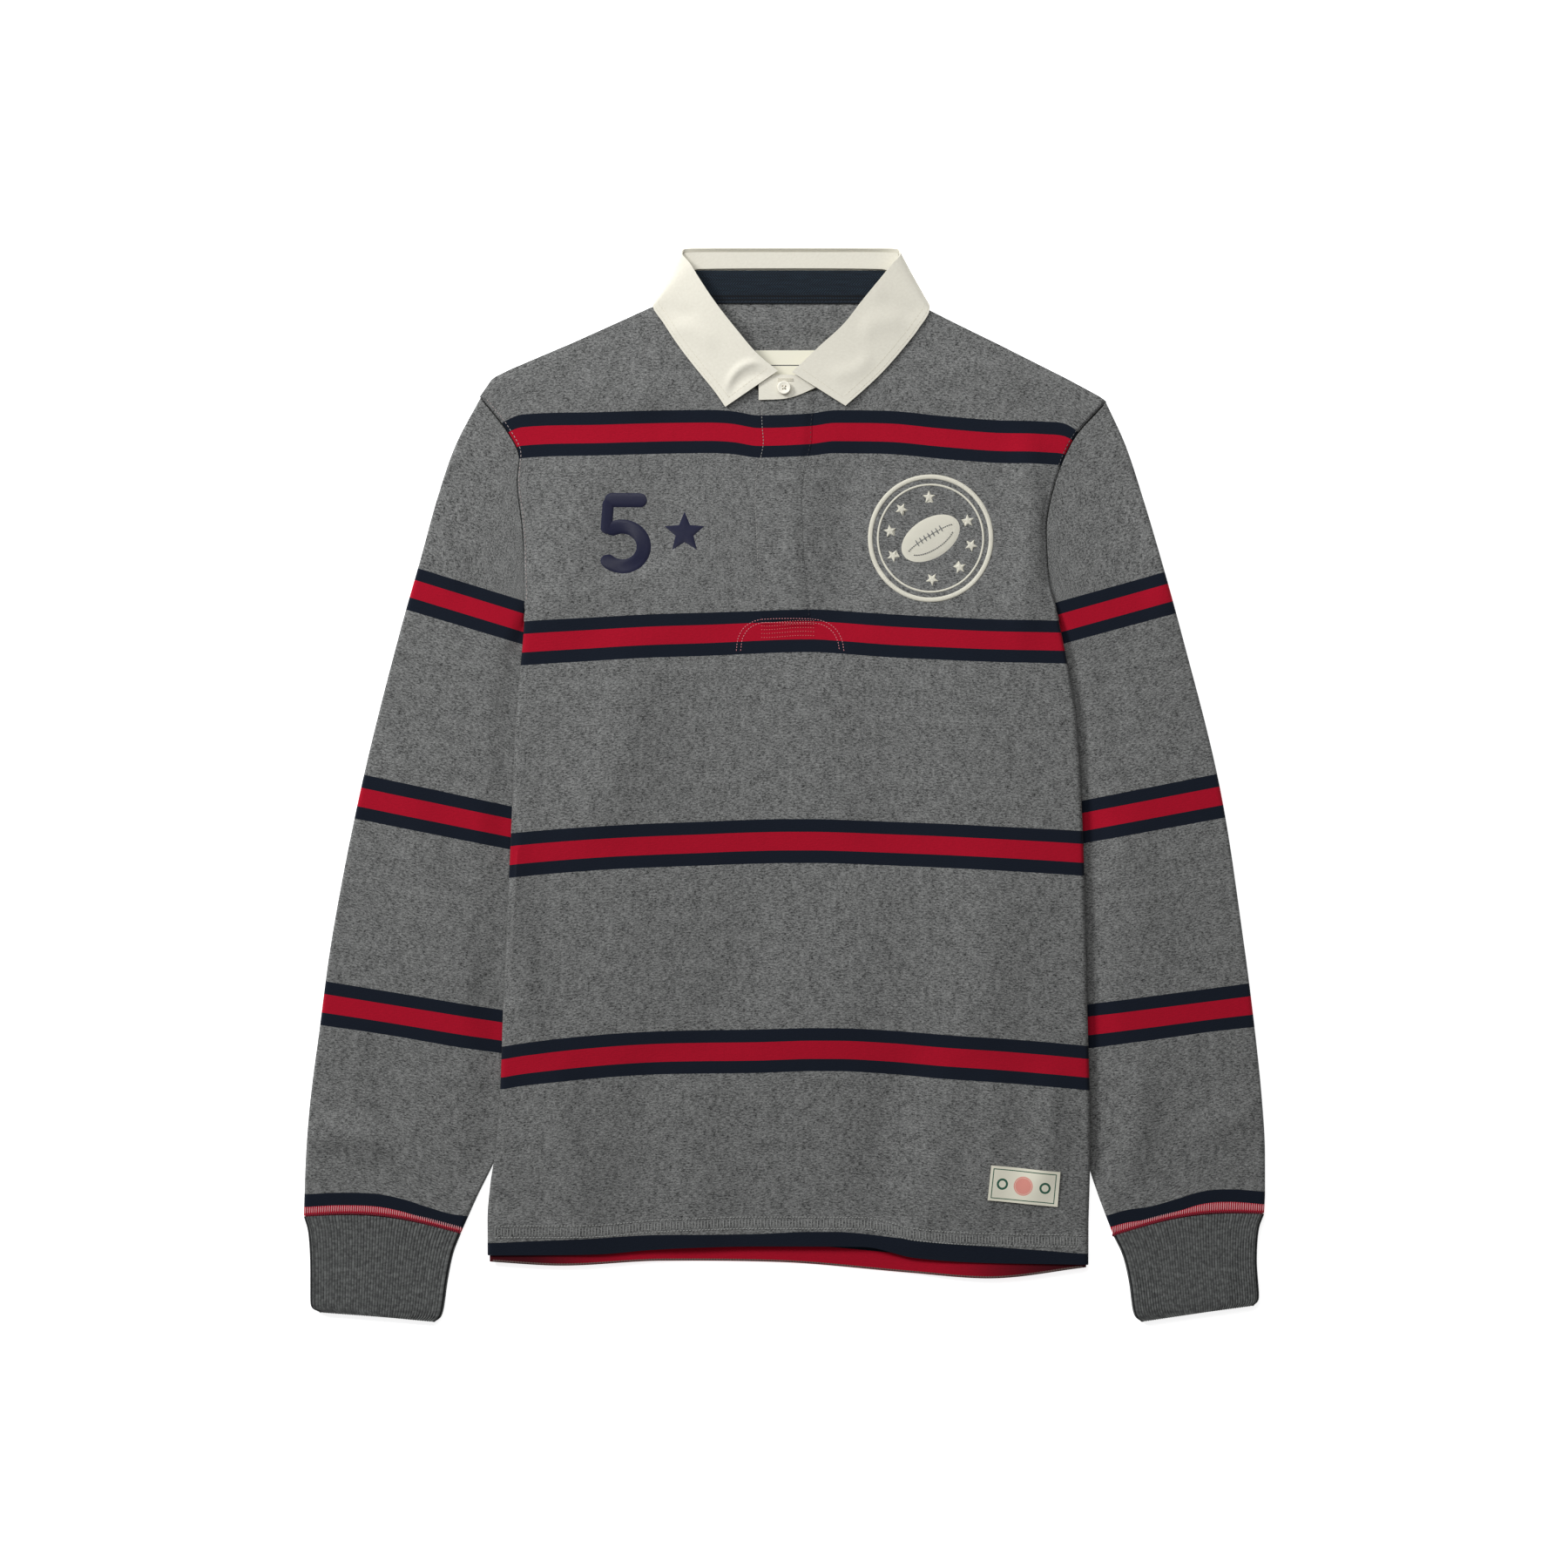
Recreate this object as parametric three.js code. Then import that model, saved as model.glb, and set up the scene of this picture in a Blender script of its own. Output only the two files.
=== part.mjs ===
// Long-sleeve polo shirt of heavy striped jersey, laid flat and face up.
// The body is a flattened tube of two panels with its sides folded under, so
// that the sleeves lie partly beneath it. All sizes are in millimetres: +X is
// the right of the shirt as seen from above, +Y points to the collar and +Z up.
import * as THREE from 'three';

// ---------------------------------------------------------------- sizes
const CLOTH = 1.1;                   // wall of the jersey
const GAP = 0.35;                    // clearance at seams and between layers
const LAYER = CLOTH + GAP;           // from the middle of one layer to the next
const TABLE = CLOTH / 2;             // middle of a layer that lies on the table
const TWILL = 1.0;                   // wall of the collar
const RIB = 1.8;                     // wall of the doubled rib cuff
const TAPE = 0.8;                    // wall of the neck tape and the labels
const FOLD_RADIUS = 2.9;             // side fold of the front panel
const NEST = LAYER + 0.2;            // the back's fold lies this far inside the front's
const RETURN = 64;                   // width of each side that is folded under
const BACK_INSET = 6.5;              // back armhole inside the front armhole
const CURL_RADIUS = 2.2;             // turned-in edge at the front armhole
const FRONT_MIDDLE = 4.4;            // height of the front away from its sides
const SLOPE = 90;                    // width over which both panels sink to the middle
const SLOPE_START = 4;               // they start to sink this far past the folded side
const FRONT_NECK_LIFT = 1.2;         // the front rises this much under the collar
const BACK_NECK_LIFT = 2.1;          // the back rises this much over the collar fall
const SHOULDER_FRONT = 4.1;          // height of the front panel at the shoulder seam
const SHOULDER_BACK = 2.5;           // height of the back panel at the shoulder seam
const SHOULDER_ROLL = 8;             // width over which both roll to the shoulder seam
const BUTTON_RADIUS = 4.9;
const BUTTON_HEIGHT = 2.2;
const BUTTON_RIM = 0.5;                // roundness of the button's rim
const BUTTON_DISH = 0.6;               // depth of its dished front
const BUTTON_SIDES = 20;
const BUTTON_AT = { x: 0, y: 290.8, z: 10.2 };

const SURFACES = {
  jersey: { color: 0x6a6c6e, roughness: 0.95 },
  rib: { color: 0x5c5e60, roughness: 0.95 },
  twill: { color: 0xe8e4d8, roughness: 0.9 },
  tape: { color: 0x1c2533, roughness: 0.95 },
  label: { color: 0xe6dfc8, roughness: 0.95 },
  button: { color: 0xe9e2d0, roughness: 0.4 },
};

const table = (columns, rows) => rows.map((row) =>
  Object.fromEntries(columns.map((column, k) => [column, row[k]])));

// Rows across the body, hem to shoulder tip. `tuck` is the width folded under on
// the front, `tuckBack` on the back; a row without a tuck is part of the armhole,
// where frontTop and backTop give the height of the panels. `sleeve` is 1 where
// the sleeve lies beneath the fold.
const BODY_ROWS = table(
  ['leftX', 'leftY', 'rightX', 'rightY', 'tuck', 'tuckBack', 'sleeve', 'frontTop', 'backTop'], [
    [-217.6, -345, 223.4, -352, RETURN, RETURN - 2, 0],
    [-217.6, -319, 223.4, -325, RETURN, RETURN - 2, 0.4],
    [-215.5, -294, 224, -298, RETURN, RETURN - 2, 0.8],
    [-211.8, -269, 224.6, -270, RETURN, RETURN - 2, 1],
    [-208.6, -232, 224.2, -232, RETURN, RETURN - 2, 1],
    [-206.1, -167, 222.5, -167, RETURN, RETURN - 2, 1],
    [-199.5, -20, 218.5, -20, RETURN, RETURN - 2, 1],
    [-196.5, 50, 214, 50, RETURN, RETURN - 2, 1],
    [-191.4, 106, 204.4, 106, RETURN, RETURN - 2, 1],
    [-190.7, 116, 202.2, 116, RETURN / 2, RETURN / 2 - 2, 1],
    [-190.6, 124, 201, 124, 1.5, 0, 1, 9.25, 7.6],
    [-190.3, 132, 199, 132, 0, 0, 1, 8.6, 6.6],
    [-190.6, 150, 194.6, 150, 0, 0, 0.5, 7.6, 4.2],
    [-192, 186, 192.6, 186, 0, 0, 0, 6, 1.2],
    [-196, 222, 197.8, 217, 0, 0, 0, 5.6, TABLE],
    [-194.6, 240, 206.1, 240.6, 0, 0, 0, 5.6, TABLE],
    [-203, 258.6, 215.7, 258, 0, 0, 0, 5.6, TABLE],
    [-215, 274.6, 229, 273, 0, 0, 0, 5.6, TABLE],
    [-223.4, 284.2, 236.8, 281, 0, 0, 0, 5.6, TABLE],
  ]);
const UNDERARM_ROW = 10;
const TIP_ROW = BODY_ROWS.length - 1;
const EDGE_STEPS = [SHOULDER_ROLL, 3, 0];   // distances below the shoulder seam
const TIP_ROLL = 0.5;                  // share of the shoulder roll that reaches the armhole

// Upper edge of each panel from shoulder tip to shoulder tip.
const SHOULDER_LEFT = [[-223.4, 284.2], [-213.8, 298.2], [-201, 304.6], [-156, 323.8], [-99.2, 349.4]];
const SHOULDER_RIGHT = [[106.2, 348.2], [156, 323.8], [206.7, 298.2], [230.4, 285.4], [236.8, 281]];
const NECK_LEFT = [-84.5, 355];
const NECK_RIGHT = [93.4, 352.6];
const FRONT_NECKLINE = [
  [-68, 335.5], [-45, 309], [-18.6, 288.5], [3, 284], [22.4, 289], [48, 305.5], [74, 330.5],
];
const BACK_NECKLINE = [[-74, 370.6], [-64, 376.3], [0, 377.2], [72, 376.3], [83.2, 370.6]];
// Lower edge of each panel.
const FRONT_HEM = [
  [-217.6, -345], [-134, -344], [-96, -341], [-19, -338.6], [58, -339], [96, -347], [223.4, -352],
];
const BACK_HEM = [
  [-217.6, -349.6], [-163, -352.6], [-90, -349.4], [0, -350.6], [90, -358], [150, -362], [223.4, -353.6],
];
// Lines down the panels, given by where they meet the upper edge.
const STOPS = [-201, -150, -99.2, -84.5, -68, -45, -18.6, 3, 22.4, 48, 74, 93.4, 106.2, 156, 206.7];
const PLACKET_STOPS = [-18.6, 3, 22.4];
const SEAM_MARGIN = 0.001;             // share of the width by which the shoulder seams stop short
// The panels rise towards the neck: where the rise starts and over what length.
const NECK_RISE = { front: { from: 262, length: 30 }, back: { from: 322, length: 18 } };
const NECK_MIDDLE = 4.5;
const NECK_HALF = 100;                 // half width of the rise
const NECK_FADE = 25;                  // width over which it dies away at either side

// Collar stations from the left front round the back to the right front: the roll
// line, the seam on the neckline and the free edge of the fall. `drop` is how
// sharply the fall leaves the roll.
const COLLAR = table(
  ['rollX', 'rollY', 'rollZ', 'seamX', 'seamY', 'seamZ', 'edgeX', 'edgeY', 'edgeZ', 'drop'], [
    [-4.5, 303, 12.5, -22.5, 289, 7.9, -43, 277, 8.2, 1],
    [-20, 316, 13.5, -27, 294, 7.9, -51, 288.6, 7.9, 1],
    [-35, 333.5, 14.5, -43, 311, 7.9, -64, 304.6, 7.8, 1],
    [-51, 354, 15, -60.5, 330.5, 7.8, -77, 321.5, 7.8, 1],
    [-62, 370.5, 14.5, -73, 345, 7.5, -88, 338, 7.8, 1],
    [-69, 382, 13, -79, 354.5, 6.8, -96, 350.7, 7.6, 1],
    [-74.5, 389.5, 9.5, -80.5, 363, 5.9, -95.8, 354.6, 2, 1.2],
    [-73, 393, 6.2, -75.5, 372, 5, -90.5, 350.5, 0.6, 3],
    [-58, 393.5, 5.4, -62, 378.4, 4.6, -62, 348, 0.6, 10],
    [4.5, 393.6, 5.4, 4.5, 378.9, 4.6, 4.5, 346.5, 0.6, 12],
    [67, 393.5, 5.4, 71, 378.4, 4.6, 72, 348, 0.6, 10],
    [83, 393, 6.2, 85, 371.5, 5, 100.5, 349.5, 0.6, 3],
    [85, 389, 9.5, 89.8, 361.5, 5.9, 106, 352.9, 2, 1.2],
    [79, 381, 13, 88, 352.5, 6.8, 106.4, 347.6, 7.6, 1],
    [70.5, 370.5, 14.5, 82, 343.5, 7.5, 99, 335, 7.8, 1],
    [57, 354, 15, 68, 328.5, 7.8, 87, 319.5, 7.8, 1],
    [43.5, 337, 14.5, 49, 309, 7.9, 73, 303.5, 7.8, 1],
    [26, 321, 13.5, 33, 297, 7.9, 60, 291, 7.9, 1],
    [5.8, 302, 12.5, 20.5, 290, 7.9, 45, 277.8, 8.2, 1],
  ]);
const STAND_END = [                    // the lap end of the stand, past the right leaf
  { seam: [3, 283.4, 8.3], top: [-1, 300.5, 10] },
  { seam: [-18.6, 282, 8.3], top: [-18.6, 300, 9.8] },
];
const FALL_STEPS = [0, 0.04, 0.12, 0.4, 0.7, 1];
const STAND_STOP = 3;                  // the stand ends this far below the roll line
const STAND_INSIDE = 0.015;            // share by which its upper edge lies nearer the middle
const STAND_UNDER = 1.9;               // it stands this far below the roll in front
const STAND_OVER = 0.6;                // and this far above it behind
const BACK_DROP = 2;                   // a fall with a sharper drop than this lies behind

// Rows down each sleeve: the outer fold, the line where the body's edge lies on
// it (contact) and the inner fold. `pressed` is 1 where the body lies on it.
const SLEEVE_COLUMNS = ['outerX', 'outerY', 'contactX', 'contactY', 'innerX', 'innerY', 'pressed'];
const SLEEVES = {
  left: {
    side: 1,
    cap: [[-240.6, 250.2], [-254, 211.8], [-267, 165]],
    rows: table(SLEEVE_COLUMNS, [
      [-281, 115.8, -196, 88, -127, 82, 1],
      [-309.8, 0.6, -201, 15, -140, 14, 1],
      [-332.2, -114.6, -205.5, -105, -171, -102, 1],
      [-341, -180, -208.5, -170, -186, -167, 1],
      [-347.5, -229.8, -211.5, -222, -199, -220, 1],
      [-350.7, -268.2, -216, -268, -209, -267, 1],
      [-352, -301.4, -234, -305, -226.5, -305, 0],
      [-352.4, -316, -244, -326.5, -237, -328.5, 0],
    ]),
  },
  right: {
    side: -1,
    cap: [[250.2, 250.2], [263, 211.8], [277, 165]],
    rows: table(SLEEVE_COLUMNS, [
      [290.6, 115.8, 212, 88, 141, 82, 1],
      [319.4, 0.6, 220, 15, 158, 14, 1],
      [337.3, -114.6, 223.5, -105, 186, -102, 1],
      [345.6, -180, 225.5, -170, 200, -167, 1],
      [350.7, -229.8, 227.5, -222, 212, -220, 1],
      [353, -268.2, 230, -270, 221, -270, 1],
      [353.1, -298, 240, -305, 232, -305, 0],
      [352.4, -314, 248, -328, 241.5, -330, 0],
    ]),
  },
};
const SLEEVE_TOP = 5.4;                // height of the sleeve's upper layer
const SLEEVE_GAP = GAP + 0.1;          // the sleeve's first row lies this far outside the armhole
const UNDERARM_TOP = 4.6;              // its height next to the underarm
const UNDERARM_INNER = { share: 0.95, y: 100 };   // inner fold of the first row
const PRESS_FROM = 0.8;                // share of the width where the body starts to press on it
const CAP_STEPS = [0.25, 0.5, 0.75];   // rows between the armhole and the first table row
const CAP_FADE = 1.5;                  // how fast the cap's bulge dies away from the outer fold
const SEAM_WAVE = 3.5;                 // the cuff seam bows this much towards the shoulder

// Rows down each cuff: its two side edges. Heights are of the upper layer.
const CUFF_COLUMNS = ['outerX', 'outerY', 'innerX', 'innerY', 'wave'];
const CUFFS = {
  left: table(CUFF_COLUMNS, [
    [-352.4, -316, -237, -328.5, 1],
    [-349.2, -328, -242.5, -343, 0.7],
    [-347.8, -350, -246.5, -362, 0.4],
    [-347.5, -378, -250, -385, 0.1],
    [-343, -387.5, -256, -393.1, 0],
  ]),
  right: table(CUFF_COLUMNS, [
    [352.4, -314, 241.5, -330, 1],
    [348.4, -326, 248.5, -345, 0.7],
    [347, -348, 253, -364, 0.4],
    [348, -374, 255.5, -386.5, 0.1],
    [344, -381.5, 261.5, -393.1, 0],
  ]),
};
const CUFF_TOP = 6.2;
const CUFF_GAP = GAP + 0.25;           // from the sleeve's seam line to the cuff's first row
const CUFF_THIN = { drop: 1.4, from: 2.6, rows: 1.4 };   // its last rows flatten towards the edge
const CUFF_SHARES = [0, 0.2, 0.4, 0.6, 0.8, 1];

// Corners of the tape and the labels, from upper left, clockwise, and the number
// of spans across and down each.
const NECK_TAPE = { corners: [[-66, 373.2], [74, 373.2], [74, 353], [-66, 353]], across: 14, down: 3 };
const NECK_LABEL = { corners: [[-21, 319], [33, 319], [33, 297], [-21, 297]], across: 5, down: 3 };
const HEM_LABEL = {
  corners: [[151.7, -278.4], [202.2, -283.5], [200.3, -309.1], [149.1, -304]], across: 6, down: 4,
};

// ---------------------------------------------------------------- helpers
const point = (x, y, z) => new THREE.Vector3(x, y, z);
const mix = THREE.MathUtils.lerp;
const smooth = (t) => THREE.MathUtils.smoothstep(t, 0, 1);
const radians = THREE.MathUtils.degToRad;
const TURN = [45, 0, -45].map(radians);   // angles of a rounded side fold
const mixPoints = (a, b, t) => point(mix(a.x, b.x, t), mix(a.y, b.y, t), mix(a.z, b.z, t));

// y at x along a line of [x, y] points.
function heightAt(line, x) {
  let k = 1;
  while (k < line.length - 1 && x > line[k][0]) k++;
  const [x0, y0] = line[k - 1];
  const [x1, y1] = line[k];
  return mix(y0, y1, (x - x0) / (x1 - x0));
}

// A closed wall of the given thickness about a grid of middle points. `around`
// joins the last column to the first, as on a sleeve.
function wall(grid, thickness, around = false) {
  const rows = grid.length;
  const columns = grid[0].length;
  const at = (i, j) => grid[Math.min(rows - 1, Math.max(0, i))][
    around ? (j + columns) % columns : Math.min(columns - 1, Math.max(0, j))];
  const positions = [];
  for (const side of [1, -1]) {
    for (let i = 0; i < rows; i++) {
      for (let j = 0; j < columns; j++) {
        const down = at(i + 1, j).clone().sub(at(i - 1, j));
        const across = at(i, j + 1).clone().sub(at(i, j - 1));
        const normal = across.cross(down).normalize();
        const p = grid[i][j].clone().addScaledVector(normal, side * thickness / 2);
        positions.push(p.x, p.y, p.z);
      }
    }
  }
  const index = [];
  const layer = rows * columns;
  const id = (i, j, under) => under * layer + i * columns + (j % columns);
  const quad = (a, b, c, d) => index.push(a, b, c, a, c, d);
  const lastColumn = around ? columns : columns - 1;
  for (let i = 0; i < rows - 1; i++) {
    for (let j = 0; j < lastColumn; j++) {
      quad(id(i, j, 0), id(i, j + 1, 0), id(i + 1, j + 1, 0), id(i + 1, j, 0));
      quad(id(i, j, 1), id(i + 1, j, 1), id(i + 1, j + 1, 1), id(i, j + 1, 1));
    }
  }
  for (let j = 0; j < lastColumn; j++) {
    quad(id(0, j, 1), id(0, j + 1, 1), id(0, j + 1, 0), id(0, j, 0));
    quad(id(rows - 1, j, 0), id(rows - 1, j + 1, 0), id(rows - 1, j + 1, 1), id(rows - 1, j, 1));
  }
  if (!around) {
    for (let i = 0; i < rows - 1; i++) {
      quad(id(i, 0, 0), id(i + 1, 0, 0), id(i + 1, 0, 1), id(i, 0, 1));
      const j = columns - 1;
      quad(id(i, j, 1), id(i + 1, j, 1), id(i + 1, j, 0), id(i, j, 0));
    }
  }
  const geometry = new THREE.BufferGeometry();
  geometry.setAttribute('position', new THREE.Float32BufferAttribute(positions, 3));
  geometry.setIndex(index);
  return geometry;
}

// Signed volume of a closed geometry; negative when its faces point in.
function volume(geometry) {
  const p = geometry.attributes.position;
  const index = geometry.index.array;
  const [a, b, c] = [point(), point(), point()];
  let sum = 0;
  for (let k = 0; k < index.length; k += 3) {
    a.fromBufferAttribute(p, index[k]);
    b.fromBufferAttribute(p, index[k + 1]);
    c.fromBufferAttribute(p, index[k + 2]);
    sum += a.dot(b.cross(c)) / 6;
  }
  return sum;
}

const shirt = new THREE.Group();
shirt.name = 'long_sleeve_polo_shirt';

function piece(name, geometry, surface) {
  if (volume(geometry) < 0) geometry.index.array.reverse();
  const mesh = new THREE.Mesh(geometry, new THREE.MeshStandardMaterial({ ...surface, metalness: 0 }));
  mesh.name = name;
  shirt.add(mesh);
  return mesh;
}

// ---------------------------------------------------------------- body panels
const upperEdge = (neckline) => [...SHOULDER_LEFT, NECK_LEFT, ...neckline, NECK_RIGHT, ...SHOULDER_RIGHT];
const [TIP_LEFT, TIP_RIGHT] = [SHOULDER_LEFT[0], SHOULDER_RIGHT[SHOULDER_RIGHT.length - 1]];
const stopToU = (x) => (x - TIP_LEFT[0]) / (TIP_RIGHT[0] - TIP_LEFT[0]);

// The body rows of one panel, with the rows near the shoulder seam put in.
function panelRows(hem) {
  const rows = BODY_ROWS.map((row) => ({ ...row, below: null }));
  [rows[0].leftX, rows[0].leftY] = hem[0];
  [rows[0].rightX, rows[0].rightY] = hem[hem.length - 1];
  const tip = rows[TIP_ROW];
  const last = rows[TIP_ROW - 1];
  const length = Math.hypot(tip.leftX - last.leftX, tip.leftY - last.leftY);
  const near = EDGE_STEPS.map((below) => {
    const t = 1 - below / length;
    const row = { ...tip, below };
    for (const key of ['leftX', 'leftY', 'rightX', 'rightY']) row[key] = mix(last[key], tip[key], t);
    return row;
  });
  const all = [...rows.slice(0, TIP_ROW), ...near];
  for (const row of all) row.v = (row.leftY - rows[0].leftY) / (tip.leftY - rows[0].leftY);
  return all;
}

// Plan position at share u across and row `row`, between the hem, the upper edge
// and the two side edges (a Coons patch).
function planAt(row, u, hem, top) {
  const v = row.v;
  const hemAt = heightAt(hem, mix(hem[0][0], hem[hem.length - 1][0], u));
  const topAt = heightAt(top, mix(TIP_LEFT[0], TIP_RIGHT[0], u));
  const hemStraight = mix(hem[0][1], hem[hem.length - 1][1], u);
  const topStraight = mix(TIP_LEFT[1], TIP_RIGHT[1], u);
  const x = mix(row.leftX, row.rightX, u);
  const y = mix(row.leftY, row.rightY, u) + (1 - v) * (hemAt - hemStraight) + v * (topAt - topStraight);
  return [x, y];
}

const foldHeight = (row) => TABLE + row.sleeve * 2 * LAYER;   // middle of the front's return
const frontTop = (row) => row.frontTop ?? foldHeight(row) + 2 * FOLD_RADIUS;
const backTop = (row) => row.backTop ?? foldHeight(row) + 2 * FOLD_RADIUS - NEST;
const neckShare = (x, y, { from, length }) =>
  smooth((y - from) / length) * (1 - smooth((Math.abs(x - NECK_MIDDLE) - NECK_HALF) / NECK_FADE));

// Height of the middle of each panel at a plan point of a row.
function frontHeight(row, x, y) {
  const edge = Math.min(x - row.leftX, row.rightX - x);
  const share = 1 - smooth((edge - row.tuck - SLOPE_START) / SLOPE);
  return mix(FRONT_MIDDLE, frontTop(row), share) + FRONT_NECK_LIFT * neckShare(x, y, NECK_RISE.front);
}
function backHeight(row, x, y) {
  const edge = Math.min(x - row.leftX, row.rightX - x);
  const share = 1 - smooth((edge - row.tuck - SLOPE_START) / SLOPE);
  return mix(TABLE, backTop(row), share) + BACK_NECK_LIFT * neckShare(x, y, NECK_RISE.back);
}

// The side of a panel from its hidden end to the flat top: pairs of distance
// inside the outline and height.
const ARC = [-90, -45, 0, 45, 90].map(radians);
const CURL = [-20, -5, 12, 30, 50, 70, 90].map(radians);   // turned-in edge at the armhole
const BACK_EDGE = [0, 0.5, 1, 1.5, 2, 2.5, 3];             // as many points on the back's flat edge
function frontSide(row) {
  const top = frontTop(row);
  if (row.tuck === 0) {
    return CURL.map((a) =>
      [CLOTH / 2 + CURL_RADIUS * (1 - Math.cos(a)), top - CURL_RADIUS * (1 - Math.sin(a))]);
  }
  return foldSide(top - FOLD_RADIUS, FOLD_RADIUS, row.tuck);
}
function backSide(row) {
  const top = backTop(row);
  if (row.tuckBack === 0) {
    return BACK_EDGE.map((inside) => [BACK_INSET + inside, top]);
  }
  return foldSide(top - FOLD_RADIUS + NEST, FOLD_RADIUS - NEST, row.tuckBack);
}
function foldSide(middle, radius, tuck) {
  const centre = CLOTH / 2 + FOLD_RADIUS;
  const arc = ARC.map((a) => [centre - radius * Math.cos(a), middle + radius * Math.sin(a)]);
  return [[centre + tuck, middle - radius], [centre + tuck / 2, middle - radius], ...arc];
}

// A whole panel: the left side, the stops and the right side of every row.
function panelGrid(hem, neckline, side, height, shoulderHeight) {
  const top = upperEdge(neckline);
  const neck = [stopToU(NECK_LEFT[0]) + SEAM_MARGIN, stopToU(NECK_RIGHT[0]) - SEAM_MARGIN];
  return panelRows(hem).map((row) => {
    const width = row.rightX - row.leftX;
    const place = (u, z) => {
      const [x, y] = planAt(row, u, hem, top);
      let h = z ?? height(row, x, y);
      if (row.below !== null && (u < neck[0] || u > neck[1])) {
        const roll = 1 - Math.sin((Math.PI / 2) * Math.min(1, row.below / SHOULDER_ROLL));
        const flat = height(row, x, y);
        h += (shoulderHeight - flat) * roll * (z === undefined ? 1 : TIP_ROLL);
      }
      return point(x, y, h);
    };
    const profile = side(row);
    const left = profile.map(([inside, z]) => place(inside / width, z));
    const middle = STOPS.map((x) => place(stopToU(x)));
    const right = profile.map(([inside, z]) => place(1 - inside / width, z)).reverse();
    return [...left, ...middle, ...right];
  });
}

const frontGrid = panelGrid(FRONT_HEM, FRONT_NECKLINE, frontSide, frontHeight, SHOULDER_FRONT);
const backGrid = panelGrid(BACK_HEM, BACK_NECKLINE, backSide, backHeight, SHOULDER_BACK);
const front = piece('front', wall(frontGrid, CLOTH), SURFACES.jersey);
const back = piece('back', wall(backGrid, CLOTH), SURFACES.jersey);

// ---------------------------------------------------------------- placket
// The lap follows the front panel's own points, one layer higher.
const SIDE_POINTS = frontSide(BODY_ROWS[0]).length;
const placketColumns = PLACKET_STOPS.map((x) => SIDE_POINTS + STOPS.indexOf(x));
const placketGrid = frontGrid.slice(UNDERARM_ROW - 1).map((row) =>
  placketColumns.map((column) => row[column].clone().add(point(0, 0, LAYER))));
piece('placket', wall(placketGrid, CLOTH), SURFACES.jersey);

// ---------------------------------------------------------------- sleeves
// The armhole from the shoulder tip down to where the sleeve goes under the body:
// its outline, the height of the front there, and the edge of the back panel.
function armhole(name) {
  return BODY_ROWS.slice(UNDERARM_ROW).reverse().map((row, k) => {
    const backRow = k === 0 ? backGrid.at(-1) : backGrid[TIP_ROW - k];
    const backEdge = name === 'left' ? backRow[0] : backRow.at(-1);
    const [x, y] = [row[name + 'X'], row[name + 'Y']];
    return { x, y, top: frontTop(row), backX: backEdge.x, backY: backEdge.y };
  });
}

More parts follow.
